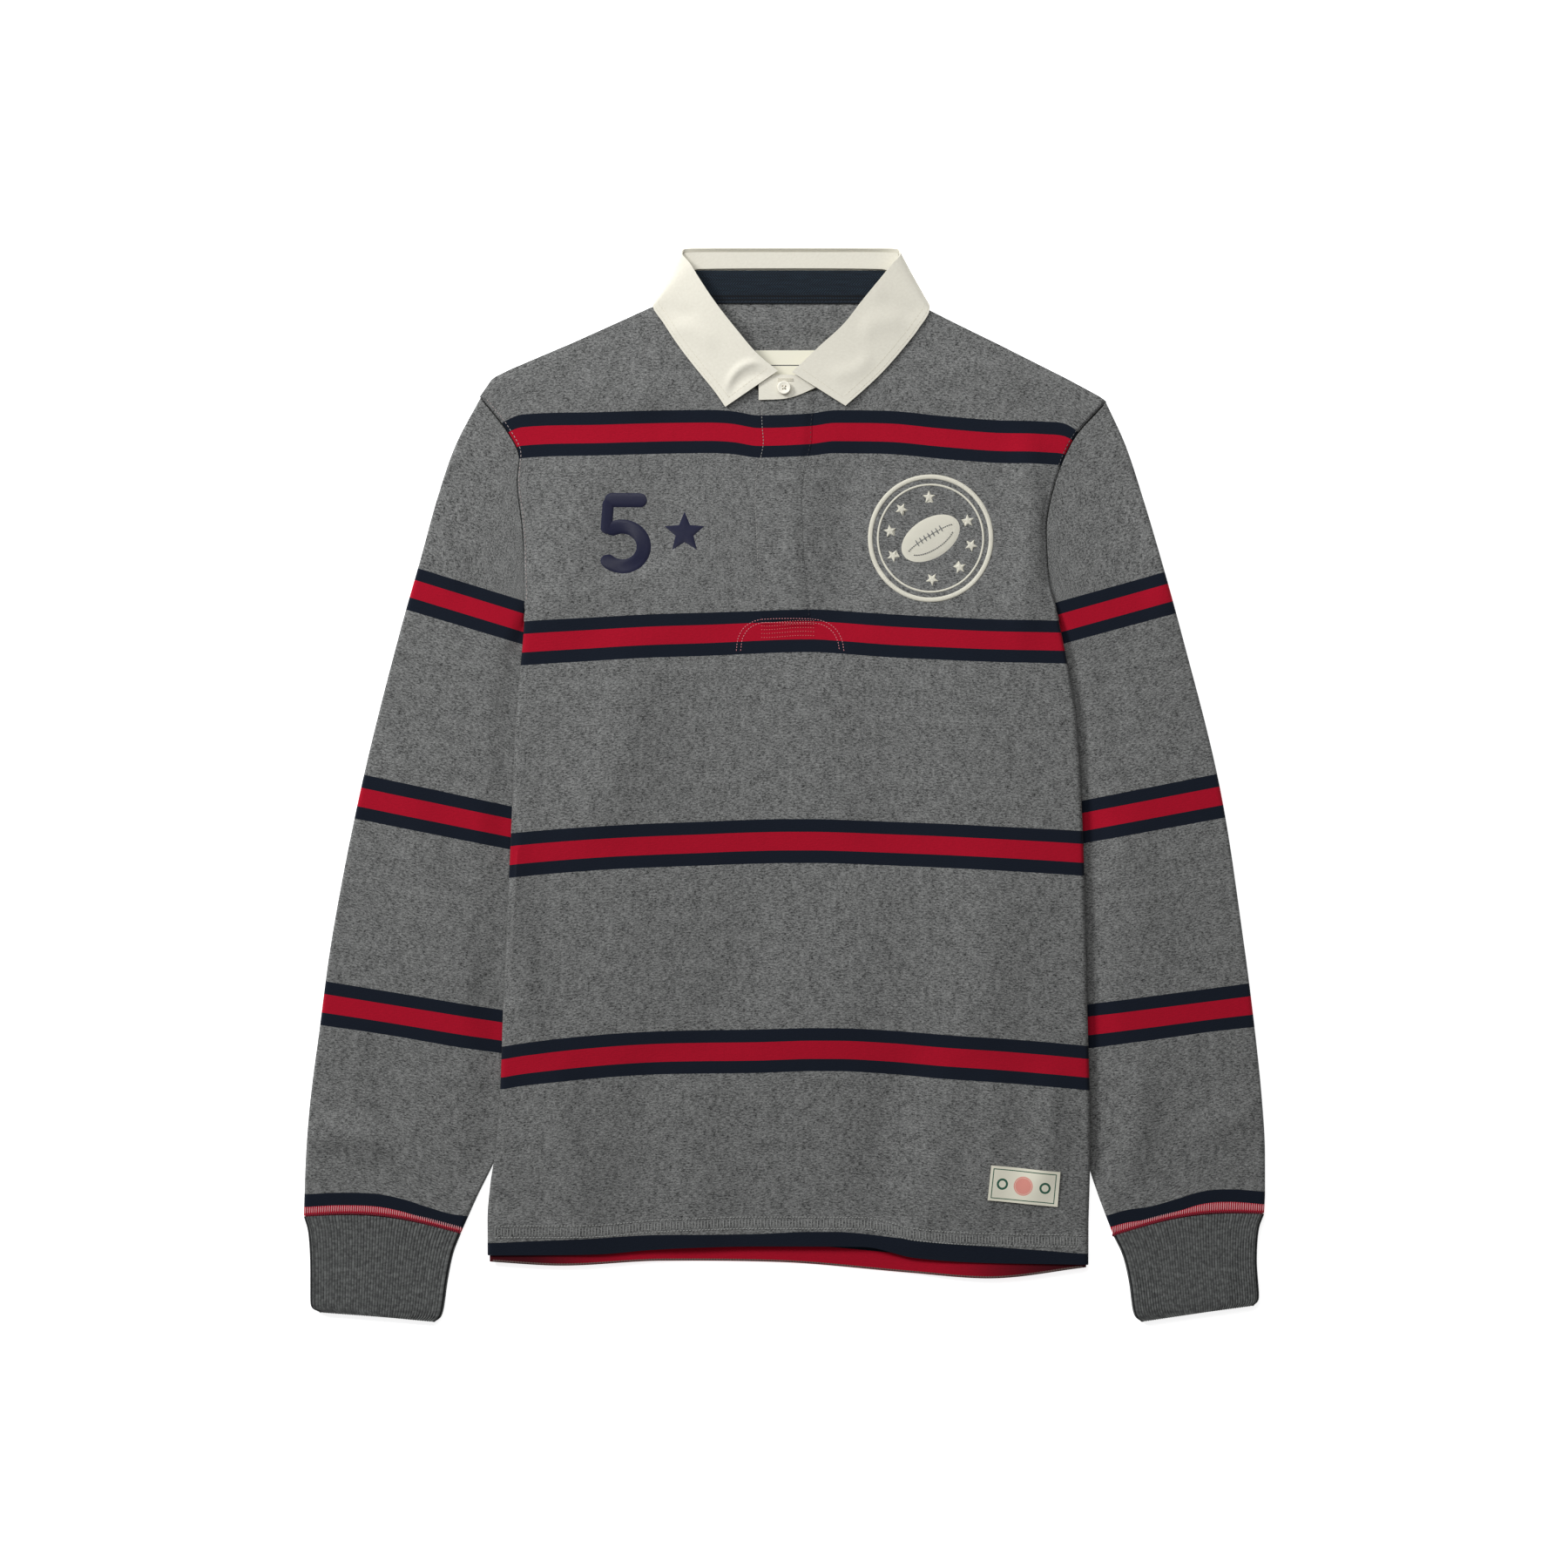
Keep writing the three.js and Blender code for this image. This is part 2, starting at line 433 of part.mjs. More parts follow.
function sleeveGrid(name) {
  const { side, cap, rows } = SLEEVES[name];
  const hole = armhole(name);
  const count = hole.length;
  const outward = -side * SLEEVE_GAP;
  const share = (k) => k / (count - 1);
  const firstRow = rows[0];
  const last = rows.length - 1;
  // rows of top points (outer fold to contact) and bottom points (contact to outer)
  const section = (topLine, bottomLine, contact, inner, pressed, topZ) => {
    const innerTop = mix(SLEEVE_TOP, TABLE + LAYER, pressed);
    const outerRadius = (topZ(0) - TABLE) / 2;
    const innerRadius = (innerTop - TABLE) / 2;
    const unit = Math.hypot(inner[0] - topLine[0][0], inner[1] - topLine[0][1]);
    const along = [(inner[0] - topLine[0][0]) / unit, (inner[1] - topLine[0][1]) / unit];
    const shift = ([x, y], d, z) => point(x + along[0] * d, y + along[1] * d, z);
    const arc = (from, radius, sign) => TURN.map((a) => {
      const inside = CLOTH / 2 + radius - radius * Math.cos(a);
      return shift(from, sign * inside, TABLE + radius + radius * Math.sin(a));
    });
    const top = topLine.map((p, k) => (k === 0
      ? shift(p, CLOTH / 2 + outerRadius, topZ(0))
      : point(p[0], p[1], topZ(k))));
    const end = shift(inner, -(CLOTH / 2 + innerRadius), innerTop);
    const under = shift(inner, -(CLOTH / 2 + innerRadius), TABLE);
    const bottom = bottomLine.map((p, k) => (k === bottomLine.length - 1
      ? shift(p, CLOTH / 2 + outerRadius, TABLE) : point(p[0], p[1], TABLE)));
    const [innerArc, outerArc] = [arc(inner, innerRadius, -1), arc(topLine[0], outerRadius, 1)];
    return [...top, end, ...innerArc, under, ...bottom, ...outerArc.reverse()];
  };
  const grid = [];
  // armhole row
  const topHole = hole.map(({ x, y }, k) => [x + (k === count - 1 ? outward * 2 : outward), y]);
  const bottomHole = hole.map(({ backX, backY }) => [backX + outward, backY]).reverse();
  const innerHole = [mix(hole[count - 1].x, firstRow.innerX, UNDERARM_INNER.share), UNDERARM_INNER.y];
  const holeZ = (k) => (k === count - 1
    ? TABLE + LAYER
    : Math.min(hole[k].top, k === count - 2 ? UNDERARM_TOP : SLEEVE_TOP));
  grid.push(section(topHole, bottomHole, topHole[count - 1], innerHole, 1, holeZ));
  const straight = (row) => hole.map((_, k) => {
    const t = share(k);
    return [mix(row.outerX, row.contactX, t), mix(row.outerY, row.contactY, t)];
  });
  const rowZ = (row) => (k) => {
    const t = smooth((share(k) - PRESS_FROM) / (1 - PRESS_FROM));
    return mix(SLEEVE_TOP, mix(SLEEVE_TOP, TABLE + LAYER, row.pressed), t);
  };
  const firstLine = straight(firstRow);
  CAP_STEPS.forEach((t, n) => {
    const straightX = mix(topHole[0][0], firstRow.outerX, t);
    const straightY = mix(topHole[0][1], firstRow.outerY, t);
    const bulge = [cap[n][0] - straightX, cap[n][1] - straightY];
    const blend = (line) => line.map((p, k) => {
      const q = firstLine[k];
      const w = (1 - share(k)) ** CAP_FADE;
      return [mix(p[0], q[0], t) + bulge[0] * w, mix(p[1], q[1], t) + bulge[1] * w];
    });
    const inner = [mix(innerHole[0], firstRow.innerX, t), mix(innerHole[1], firstRow.innerY, t)];
    const line = blend(topHole);
    grid.push(section(line, [...line].reverse(), line[count - 1], inner, 1,
      (k) => mix(holeZ(k), rowZ(firstRow)(k), Math.min(1, t * 2))));
  });
  rows.forEach((row, n) => {
    const wave = n === last ? SEAM_WAVE : 0;
    const line = straight(row).map(([x, y], k) => [x, y + wave * Math.sin(Math.PI * share(k))]);
    const inner = [row.innerX, row.innerY];
    grid.push(section(line, [...line].reverse(), line[count - 1], inner, row.pressed, rowZ(row)));
  });
  return grid;
}
for (const name of ['left', 'right']) {
  piece('sleeve_' + name, wall(sleeveGrid(name), CLOTH, true), SURFACES.jersey);
}

// ---------------------------------------------------------------- cuffs
function cuffGrid(name) {
  return CUFFS[name].map((row, n) => {
    const top = CUFF_TOP - CUFF_THIN.drop * smooth((n - CUFF_THIN.from) / CUFF_THIN.rows);
    const radius = (top - RIB / 2) / 2;
    const inset = RIB / 2 + radius;
    const length = Math.hypot(row.innerX - row.outerX, row.innerY - row.outerY);
    const at = (inside, z) => {
      const t = inside / length;
      const bow = row.wave * SEAM_WAVE * Math.sin(Math.PI * Math.min(1, Math.max(0, t)));
      return point(mix(row.outerX, row.innerX, t), mix(row.outerY, row.innerY, t) + bow - CUFF_GAP, z);
    };
    const flat = CUFF_SHARES.map((t) => mix(inset, length - inset, t));
    const turn = (a, end) => {
      const inside = inset - radius * Math.cos(a);
      return at(end ? length - inside : inside, RIB / 2 + radius + radius * Math.sin(a));
    };
    return [
      ...flat.map((inside) => at(inside, top)),
      ...TURN.map((a) => turn(a, true)),
      ...flat.map((inside) => at(inside, RIB / 2)).reverse(),
      ...TURN.map((a) => turn(a, false)).reverse(),
    ];
  });
}
for (const name of ['left', 'right']) {
  piece('cuff_' + name, wall(cuffGrid(name), RIB, true), SURFACES.rib);
}

// ---------------------------------------------------------------- collar
const rollOf = (s) => point(s.rollX, s.rollY, s.rollZ);
const seamOf = (s) => point(s.seamX, s.seamY, s.seamZ);
const edgeOf = (s) => point(s.edgeX, s.edgeY, s.edgeZ);

const fallGrid = COLLAR.map((s) => FALL_STEPS.map((t) => {
  const p = mixPoints(rollOf(s), edgeOf(s), t);
  p.z = s.edgeZ + (s.rollZ - s.edgeZ) * (1 - t) ** s.drop;
  return p;
}));
piece('collar_fall', wall(fallGrid, TWILL), SURFACES.twill);

// The stand runs below the roll line, under the fall in front and over it behind.
const standStations = COLLAR.slice(1).map((s) => {
  const seam = seamOf(s);
  const roll = rollOf(s);
  const top = mixPoints(roll, seam, STAND_STOP / roll.distanceTo(seam));
  top.x = mix(top.x, NECK_MIDDLE, STAND_INSIDE);
  top.z = roll.z + (s.drop > BACK_DROP ? STAND_OVER : -STAND_UNDER);
  return { seam, top };
});
for (const end of STAND_END) standStations.push({ seam: point(...end.seam), top: point(...end.top) });
const standGrid = standStations.map(({ seam, top }) => [0, 0.5, 1].map((t) => mixPoints(seam, top, t)));
piece('collar_stand', wall(standGrid, TWILL), SURFACES.twill);

// ---------------------------------------------------------------- tape, labels, button
const RAY_START = 100;
const ray = new THREE.Raycaster();
function topOf(mesh, x, y) {
  mesh.updateMatrixWorld();
  mesh.material.side = THREE.DoubleSide;
  ray.set(point(x, y, RAY_START), point(0, 0, -1));
  return ray.intersectObject(mesh)[0].point.z;
}
// A flat strip laid on a panel, one clearance above it.
function laidStrip(mesh, { corners: [a, b, c, d], across, down }) {
  const grid = [];
  for (let i = 0; i <= down; i++) {
    const row = [];
    for (let j = 0; j <= across; j++) {
      const [u, v] = [j / across, i / down];
      const x = mix(mix(a[0], b[0], u), mix(d[0], c[0], u), v);
      const y = mix(mix(a[1], b[1], u), mix(d[1], c[1], u), v);
      row.push(point(x, y, topOf(mesh, x, y) + GAP + TAPE / 2));
    }
    grid.push(row);
  }
  return grid;
}
piece('neck_tape', wall(laidStrip(back, NECK_TAPE), TAPE), SURFACES.tape);
piece('neck_label', wall(laidStrip(back, NECK_LABEL), TAPE), SURFACES.label);
piece('hem_label', wall(laidStrip(front, HEM_LABEL), TAPE), SURFACES.label);

// The turned section, from the back's middle round the rim to the dished front.
const buttonProfile = [
  [0, 0],
  [BUTTON_RADIUS - BUTTON_RIM, 0],
  [BUTTON_RADIUS, BUTTON_RIM],
  [BUTTON_RADIUS, BUTTON_HEIGHT - BUTTON_RIM],
  [BUTTON_RADIUS - BUTTON_RIM, BUTTON_HEIGHT],
  [BUTTON_RADIUS - 3 * BUTTON_RIM, BUTTON_HEIGHT],
  [BUTTON_RADIUS - 4 * BUTTON_RIM, BUTTON_HEIGHT - BUTTON_DISH],
  [0, BUTTON_HEIGHT - BUTTON_DISH],
].map(([r, z]) => new THREE.Vector2(r, z));
const button = piece('button', new THREE.LatheGeometry(buttonProfile, BUTTON_SIDES), SURFACES.button);
button.rotation.x = Math.PI / 2;
button.position.set(BUTTON_AT.x, BUTTON_AT.y, BUTTON_AT.z);

export default shirt;
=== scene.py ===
import bpy
import numpy as np
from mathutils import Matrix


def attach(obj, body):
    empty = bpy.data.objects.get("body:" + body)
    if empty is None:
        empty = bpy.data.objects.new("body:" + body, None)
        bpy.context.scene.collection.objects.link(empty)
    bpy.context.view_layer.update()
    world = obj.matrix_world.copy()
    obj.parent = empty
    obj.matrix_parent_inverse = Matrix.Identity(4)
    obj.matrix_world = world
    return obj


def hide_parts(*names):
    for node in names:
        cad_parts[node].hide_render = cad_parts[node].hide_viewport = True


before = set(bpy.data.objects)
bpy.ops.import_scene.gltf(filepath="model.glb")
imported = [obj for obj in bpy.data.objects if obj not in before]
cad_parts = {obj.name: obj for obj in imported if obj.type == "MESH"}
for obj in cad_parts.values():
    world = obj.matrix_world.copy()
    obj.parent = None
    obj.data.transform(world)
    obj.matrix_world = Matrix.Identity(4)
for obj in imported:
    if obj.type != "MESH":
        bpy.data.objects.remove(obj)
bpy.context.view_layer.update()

scene = bpy.context.scene

# ---------------------------------------------------------------- stage
# A plain white floor under soft daylight from large overhead panels, seen from
# straight above. Nothing here belongs to the shirt.
MM = 0.001


def srgb(*rgb):
    """Linear colour of an sRGB colour given in steps of 0 to 255."""
    c = np.array(rgb) / 255
    linear = np.where(c <= 0.04045, c / 12.92, ((c + 0.055) / 1.055) ** 2.4)
    return (*linear.tolist(), 1.0)


def node(tree, kind, settings=None, **inputs):
    """Adds a shader node. An input is a value or another node's output socket."""
    new = tree.nodes.new("ShaderNode" + kind)
    for name, value in (settings or {}).items():
        setattr(new, name, value)
    for name, value in inputs.items():
        key = int(name[1:]) if name[0] == "_" else name.replace("_", " ")
        if isinstance(value, bpy.types.NodeSocket):
            tree.links.new(value, new.inputs[key])
        else:
            new.inputs[key].default_value = value
    return new


def principled(name, **values):
    """A material with one Principled shader; returns the material, its tree and the shader."""
    made = bpy.data.materials.new(name)
    made.use_nodes = True
    tree = made.node_tree
    shader = tree.nodes["Principled BSDF"]
    for key, value in values.items():
        shader.inputs[key.replace("_", " ")].default_value = value
    return made, tree, shader


FLOOR_HALF, FLOOR_Z = 4.0, -0.0002          # metres
WHITE = (1, 1, 1, 1)
floor_corners = [(x * FLOOR_HALF, y * FLOOR_HALF, FLOOR_Z) for x, y in ((-1, -1), (1, -1), (1, 1), (-1, 1))]
floor_mesh = bpy.data.meshes.new("floor")
floor_mesh.from_pydata(floor_corners, [], [(0, 1, 2, 3)])
floor_mesh.materials.append(principled("floor", Base_Color=(0.95, 0.95, 0.95, 1), Roughness=0.9,
                                       Emission_Color=WHITE, Emission_Strength=0.75)[0])
floor = bpy.data.objects.new("floor", floor_mesh)
scene.collection.objects.link(floor)

LIGHTS = {                       # place in metres, size, power in watts
    "key": ((-3.2, 2.4, 2.6), 1.2, 165),
    "overhead": ((-0.1, 0.7, 1.05), 0.9, 6.4),
}
stage_objects = [floor]
for light_name, (place, size, power) in LIGHTS.items():
    lamp = bpy.data.lights.new(light_name, "AREA")
    lamp.size = size
    lamp.energy = power
    lamp_object = bpy.data.objects.new(light_name, lamp)
    lamp_object.location = place
    aim = bpy.data.objects.new(light_name + "_aim", None)
    track = lamp_object.constraints.new("TRACK_TO")
    track.target = aim
    track.track_axis = "TRACK_NEGATIVE_Z"
    track.up_axis = "UP_Y"
    scene.collection.objects.link(lamp_object)
    scene.collection.objects.link(aim)
    stage_objects += [lamp_object, aim]

world = bpy.data.worlds.new("daylight")
world.use_nodes = True
sky = world.node_tree.nodes["Background"].inputs
sky["Color"].default_value = WHITE
sky["Strength"].default_value = 0.21
scene.world = world

camera_data = bpy.data.cameras.new("camera")
camera_data.lens = 93.75                    # millimetres; frames 1.152 m of floor
camera_data.sensor_width = 36
camera = bpy.data.objects.new("camera", camera_data)
camera.location = (0, 0.00064, 3.0)
scene.collection.objects.link(camera)
scene.camera = camera
scene.view_settings.view_transform = "Standard"

# ---------------------------------------------------------------- front and back
# Two panels of heavy brushed jersey, knitted grey marl with a red and navy
# stripe every repeat. They are sewn at the shoulders and sides; laid out, the
# sides are folded under, the back nested in the front. Sizes in millimetres.
CLOTH = 1.1
GAP = 0.35                         # between two layers
LAYER = CLOTH + GAP
TABLE = CLOTH / 2                  # the middle of cloth that lies on the table
FOLD_RADIUS = 2.9                  # of the front's side folds
NEST = LAYER + 0.2                 # the back's folds are this much smaller
RETURN = 64                        # folded under at each side
BACK_SHORT = 2                     # the back's return stops short of the front's
BACK_INSET, BACK_EDGE = 6.5, 3     # the back's edge at the armhole, and its step beneath
CURL_RADIUS, CURL_FROM, CURL_TURN = 2.2, -20, 110    # the front's curled edge at the armhole
FRONT_MIDDLE = 4.4
SLOPE_START, SLOPE = 4, 90         # the sides sink to the middle over this width
NECK_MIDDLE, NECK_HALF, NECK_FADE = 4.5, 100, 25
NECK_LIFT = {"front": (1.2, 262, 30), "back": (2.1, 322, 18)}    # rise, from y, over
SHOULDER_SEAM = {"front": 4.1, "back": 2.5}          # heights at the shoulder seam
SHOULDER_ROLL, TIP_ROLL, SHOULDER_RUN = 8, 0.5, 836
REPEAT = 153.5                     # one stripe to the next
RED_HALF, STRIPE_HALF = 6.8, 16.1
HEM_TURN, BACK_BAND = 26, 9        # turned-up hem, and how much lower the back's band is
HEM_FADE = 20                      # the back's own hem ends fade out over 1/20 of its height
PANEL_SIDE = 9                     # columns round each side fold
SHARP = 50                         # edges sharper than this many degrees aren't smoothed


def columns(names, *rows):
    """A table as one array for each named column."""
    return dict(zip(names.split(), np.array(rows, float).T))


def mix(a, b, t):
    """The value at share t of the way from a to b."""
    return a + (b - a) * t


def smooth(t):
    """0 below 0, 1 above 1 and an S-curve between."""
    t = np.clip(t, 0, 1)
    return t * t * (3 - 2 * t)


def along(t, knots, values):
    """A curve through the values that doesn't overshoot: cubic pieces whose slopes are
    the mean of the neighbouring steps, held to three times the smaller one. The values
    may be points or whole rows of a grid."""
    t, knots, values = np.asarray(t, float), np.asarray(knots, float), np.asarray(values, float)
    more = (None,) * (values.ndim - 1)
    steps = np.diff(values, axis=0) / np.diff(knots)[(slice(None),) + more]
    slopes = np.concatenate([steps[:1], (steps[:-1] + steps[1:]) / 2, steps[-1:]])
    size = np.abs(steps)
    least = np.concatenate([size[:1], np.minimum(size[:-1], size[1:]), size[-1:]])
    end = np.zeros_like(steps[:1], bool)
    turning = np.concatenate([end, steps[:-1] * steps[1:] <= 0, end])
    slopes = np.where(turning, 0, np.clip(slopes, -3 * least, 3 * least))
    k = np.clip(np.searchsorted(knots, t) - 1, 0, len(knots) - 2)
    width = (knots[k + 1] - knots[k])[(...,) + more]
    s = np.clip((t - knots[k])[(...,) + more] / width, 0, 1)
    return (values[k] * (1 + 2 * s) * (1 - s) ** 2 + values[k + 1] * s * s * (3 - 2 * s)
            + width * (slopes[k] * s * (1 - s) ** 2 - slopes[k + 1] * s * s * (1 - s)))


ROWS = columns(
    "left_x left_y right_x right_y tuck sleeve front_top back_top",
    # sides folded under; sleeve is 1 where the sleeve lies beneath the fold
    (-217.6, -345, 223.4, -352, RETURN, 0, 6.35, 4.7),
    (-217.6, -319, 223.4, -325, RETURN, 0.4, 7.51, 5.86),
    (-215.5, -294, 224, -298, RETURN, 0.8, 8.67, 7.02),
    (-211.8, -269, 224.6, -270, RETURN, 1, 9.25, 7.6),
    (-208.6, -232, 224.2, -232, RETURN, 1, 9.25, 7.6),
    (-206.1, -167, 222.5, -167, RETURN, 1, 9.25, 7.6),
    (-199.5, -20, 218.5, -20, RETURN, 1, 9.25, 7.6),
    (-196.5, 50, 214, 50, RETURN, 1, 9.25, 7.6),
    (-191.4, 106, 204.4, 106, RETURN, 1, 9.25, 7.6),
    (-190.7, 116, 202.2, 116, RETURN / 2, 1, 9.25, 7.6),
    # armhole
    (-190.6, 124, 201, 124, 1.5, 1, 9.25, 7.6),
    (-190.3, 132, 199, 132, 0, 0, 8.6, 6.6),
    (-190.6, 150, 194.6, 150, 0, 0, 7.6, 4.2),
    (-192, 186, 192.6, 186, 0, 0, 6, 1.2),
    (-196, 222, 197.8, 217, 0, 0, 5.6, TABLE),
    (-194.6, 240, 206.1, 240.6, 0, 0, 5.6, TABLE),
    (-203, 258.6, 215.7, 258, 0, 0, 5.6, TABLE),
    (-215, 274.6, 229, 273, 0, 0, 5.6, TABLE),
    (-223.4, 284.2, 236.8, 281, 0, 0, 5.6, TABLE),
)
SHOULDER_LEFT = [(-223.4, 284.2), (-213.8, 298.2), (-201, 304.6), (-156, 323.8), (-99.2, 349.4), (-84.5, 355)]
SHOULDER_RIGHT = [(93.4, 352.6), (106.2, 348.2), (156, 323.8), (206.7, 298.2), (230.4, 285.4), (236.8, 281)]
TIP_LEFT, TIP_RIGHT = SHOULDER_LEFT[0], SHOULDER_RIGHT[-1]
PANELS = {
    "front": {
        "hem": [(-217.6, -345), (-134, -344), (-96, -341), (-19, -338.6), (58, -339), (96, -347),
                (223.4, -352)],
        "neck": [(-68, 335.5), (-45, 309), (-26, 294), (-18.6, 288.5), (3, 284), (22.4, 289), (48, 305.5),
                 (74, 330.5)],
    },
    "back": {
        "hem": [(-217.6, -349.6), (-163, -352.6), (-90, -349.4), (0, -350.6), (90, -358), (150, -362),
                (223.4, -353.6)],
        "neck": [(-74, 370.6), (-64, 376.3), (0, 377.2), (72, 376.3), (83.2, 370.6)],
    },
}
# Height of each stripe's middle across the panel, then of the hem band's upper edge.
STRIPES = columns(
    "x first second third fourth band",
    (-225, 240, 101, -54, -211, -336),
    (-206, 250, 102.5, -52.5, -208, -335.4),
    (-192, 255.4, 103.7, -50.9, -205.4, -334.6),
    (-134, 257.3, 107.2, -46.3, -199, -332),
    (-96, 258.4, 109.4, -44.5, -196.7, -330),
    (-56, 258.9, 110.8, -43, -196, -329.8),
    (-38, 258, 111.6, -42.2, -195.9, -329.7),
    (-18, 254.9, 112.6, -41.6, -195.6, -329.4),
    (0, 255.2, 113.3, -41.3, -195, -328.4),
    (20, 256.4, 113.6, -41.3, -194.4, -327.8),
    (38, 258.7, 112.6, -41.6, -194.4, -327.8),
    (77, 258.2, 109.6, -43, -196.2, -331.5),
    (115, 254.6, 107.6, -44.4, -199.2, -335.9),
    (154, 251.4, 106, -46.3, -201.7, -338.5),
    (192, 250.2, 105.3, -48.4, -204.8, -341.4),
    (205, 249, 105, -49.2, -206, -342.5),
    (225, 236, 104.4, -50.5, -208, -344),
)
STRIPE_COURSES = [0, -REPEAT, -2 * REPEAT, -3 * REPEAT, -4 * REPEAT + STRIPE_HALF]


def shell(grid, wall, around=False):
    """A closed wall about a grid of middle points: each point is moved half the wall along
    the normal, which is the cross product of the steps across and down. Returns upper and
    lower points and the quads, rims included."""
    rows, cols = grid.shape[:2]
    if around:
        wide = np.concatenate([grid[:, -1:], grid, grid[:, :1]], axis=1)
        across = wide[:, 2:] - wide[:, :-2]
    else:
        across = np.gradient(grid, axis=1)
    normal = np.cross(across, np.gradient(grid, axis=0))
    normal /= np.linalg.norm(normal, axis=2, keepdims=True)
    half = np.broadcast_to(wall, (rows, cols))[..., None] / 2
    points = np.stack([grid + normal * half, grid - normal * half])
    ids = np.arange(2 * rows * cols).reshape(2, rows, cols)
    if around:
        ids = np.concatenate([ids, ids[:, :, :1]], axis=2)
    up, low = ids
    faces = [np.stack([up[:-1, :-1], up[:-1, 1:], up[1:, 1:], up[1:, :-1]], -1).reshape(-1, 4),
             np.stack([low[:-1, :-1], low[1:, :-1], low[1:, 1:], low[:-1, 1:]], -1).reshape(-1, 4),
             np.stack([low[0, :-1], low[0, 1:], up[0, 1:], up[0, :-1]], -1),
             np.stack([up[-1, :-1], up[-1, 1:], low[-1, 1:], low[-1, :-1]], -1)]
    if not around:
        faces += [np.stack([up[:-1, 0], up[1:, 0], low[1:, 0], low[:-1, 0]], -1),
                  np.stack([low[:-1, -1], low[1:, -1], up[1:, -1], up[:-1, -1]], -1)]
    faces = np.concatenate(faces)
    a, b, c, d = (points.reshape(-1, 3)[faces[:, k]] for k in range(4))
    volume = np.sum(np.cross(a, b) * c) + np.sum(np.cross(a, c) * d)
    return points, faces if volume > 0 else faces[:, ::-1]


def mesh_object(name, points, faces, uv=None, material=None):
    """Makes a smooth mesh from points in millimetres and quads; uv has one pair for each point."""
    mesh = bpy.data.meshes.new(name)
    points, faces = np.asarray(points, float).reshape(-1, 3), np.asarray(faces)
    mesh.vertices.add(len(points))
    mesh.vertices.foreach_set("co", (points * MM).ravel())
    mesh.loops.add(faces.size)
    mesh.loops.foreach_set("vertex_index", faces.ravel())
    mesh.polygons.add(len(faces))
    mesh.polygons.foreach_set("loop_start", np.arange(len(faces)) * faces.shape[1])
    mesh.update(calc_edges=True)
    mesh.validate()
    if uv is not None:
        layer = mesh.uv_layers.new(name="cloth")
        layer.data.foreach_set("uv", np.asarray(uv, float).reshape(-1, 2)[faces.ravel()].ravel())
    mesh.shade_smooth()
    mesh.set_sharp_from_angle(angle=np.radians(SHARP))
    if material:
        mesh.materials.append(material)
    made = bpy.data.objects.new(name, mesh)
    scene.collection.objects.link(made)
    return made


def cloth_piece(name, grid, wall, uv, material, around=False):
    """A piece of cloth that stands for the CAD node of its own name. uv is one grid of
    pairs, or one for each side of the cloth."""
    points, faces = shell(grid, wall, around)
    made = mesh_object(name + "_cloth", points, faces, np.broadcast_to(uv, points.shape[:3] + (2,)), material)
    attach(made, "root")
    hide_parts(name)


def course(x, y, lines, values):
    """Position along the knitting of a plan point: between neighbouring lines the share of
    the way from one to the next gives the share between their values."""
    total = values[0] + np.maximum(y - lines[0], 0) + np.zeros_like(x)
    for k in range(len(lines) - 1):
        share = np.clip((lines[k] - y) / (lines[k] - lines[k + 1]), 0, 1)
        total = total + share * (values[k + 1] - values[k])
    return total - np.maximum(lines[-1] - y, 0)


def creased(x, y, folds):
    """Height of soft folds laid by hand: each runs between two points with a bow, and falls
    off as a bell across its width and towards both ends."""
    height = np.zeros_like(x)
    for x0, y0, x1, y1, bow, width, rise in folds:
        length = np.hypot(x1 - x0, y1 - y0)
        tx, ty = (x1 - x0) / length, (y1 - y0) / length
        t = ((x - x0) * tx + (y - y0) * ty) / length
        across = (y - y0) * tx - (x - x0) * ty - bow * 4 * t * (1 - t)
        bell = rise * np.exp(-(across / width) ** 2)
        height = height + bell * smooth((t + 0.25) / 0.5) * smooth((1.25 - t) / 0.5)
    return height


FRONT_FOLDS = [                   # from, to, bow, width, height
    (-203, -40, -182, -196, -5, 15, 5.0),
    (-164, -196, -144, -330, -7, 17, 3.6),
    (-100, -205, -104, -300, -4, 18, -1.6),
    (178, 252, 175, 118, 3, 12, 4.0),
    (-150, 236, -166, 120, 5, 26, 3.4),
    (-90, 232, -104, 130, 6, 22, -2.2),
    (50, 240, 46, 125, -5, 15, -2.9),
    (10, 236, 4, 120, 3, 16, 1.6),
    (-74, -215, -60, -325, 4, 22, 3.2),
    (88, -205, 72, -318, -6, 19, -2.8),
    (118, -210, 106, -325, 4, 18, 2.6),
    (150, -60, 136, -190, 8, 25, 3.2),
    (-116, 92, -144, -36, 10, 22, 3.4),
    (26, 90, 50, -30, -6, 28, 2.4),
    (-20, -55, -44, -180, 9, 24, -2.6),
    (60, -60, 40, -180, 6, 26, 2.2),
    (120, 306, 172, 280, 6, 14, 3.0),
    (-146, 304, -92, 282, -5, 14, 3.0),
    (194, -215, 184, -300, 5, 12, 3.4),
    (154, -215, 140, -320, 5, 13, 2.2),
    (-214, -318, -150, -328, 0, 9, 1.8),
]


def panel_frame(v):
    """The table's columns at shares v of the way from hem to shoulder tip."""
    knots = (ROWS["left_y"] - ROWS["left_y"][0]) / (ROWS["left_y"][-1] - ROWS["left_y"][0])
    return {key: along(v, knots, values) for key, values in ROWS.items()}


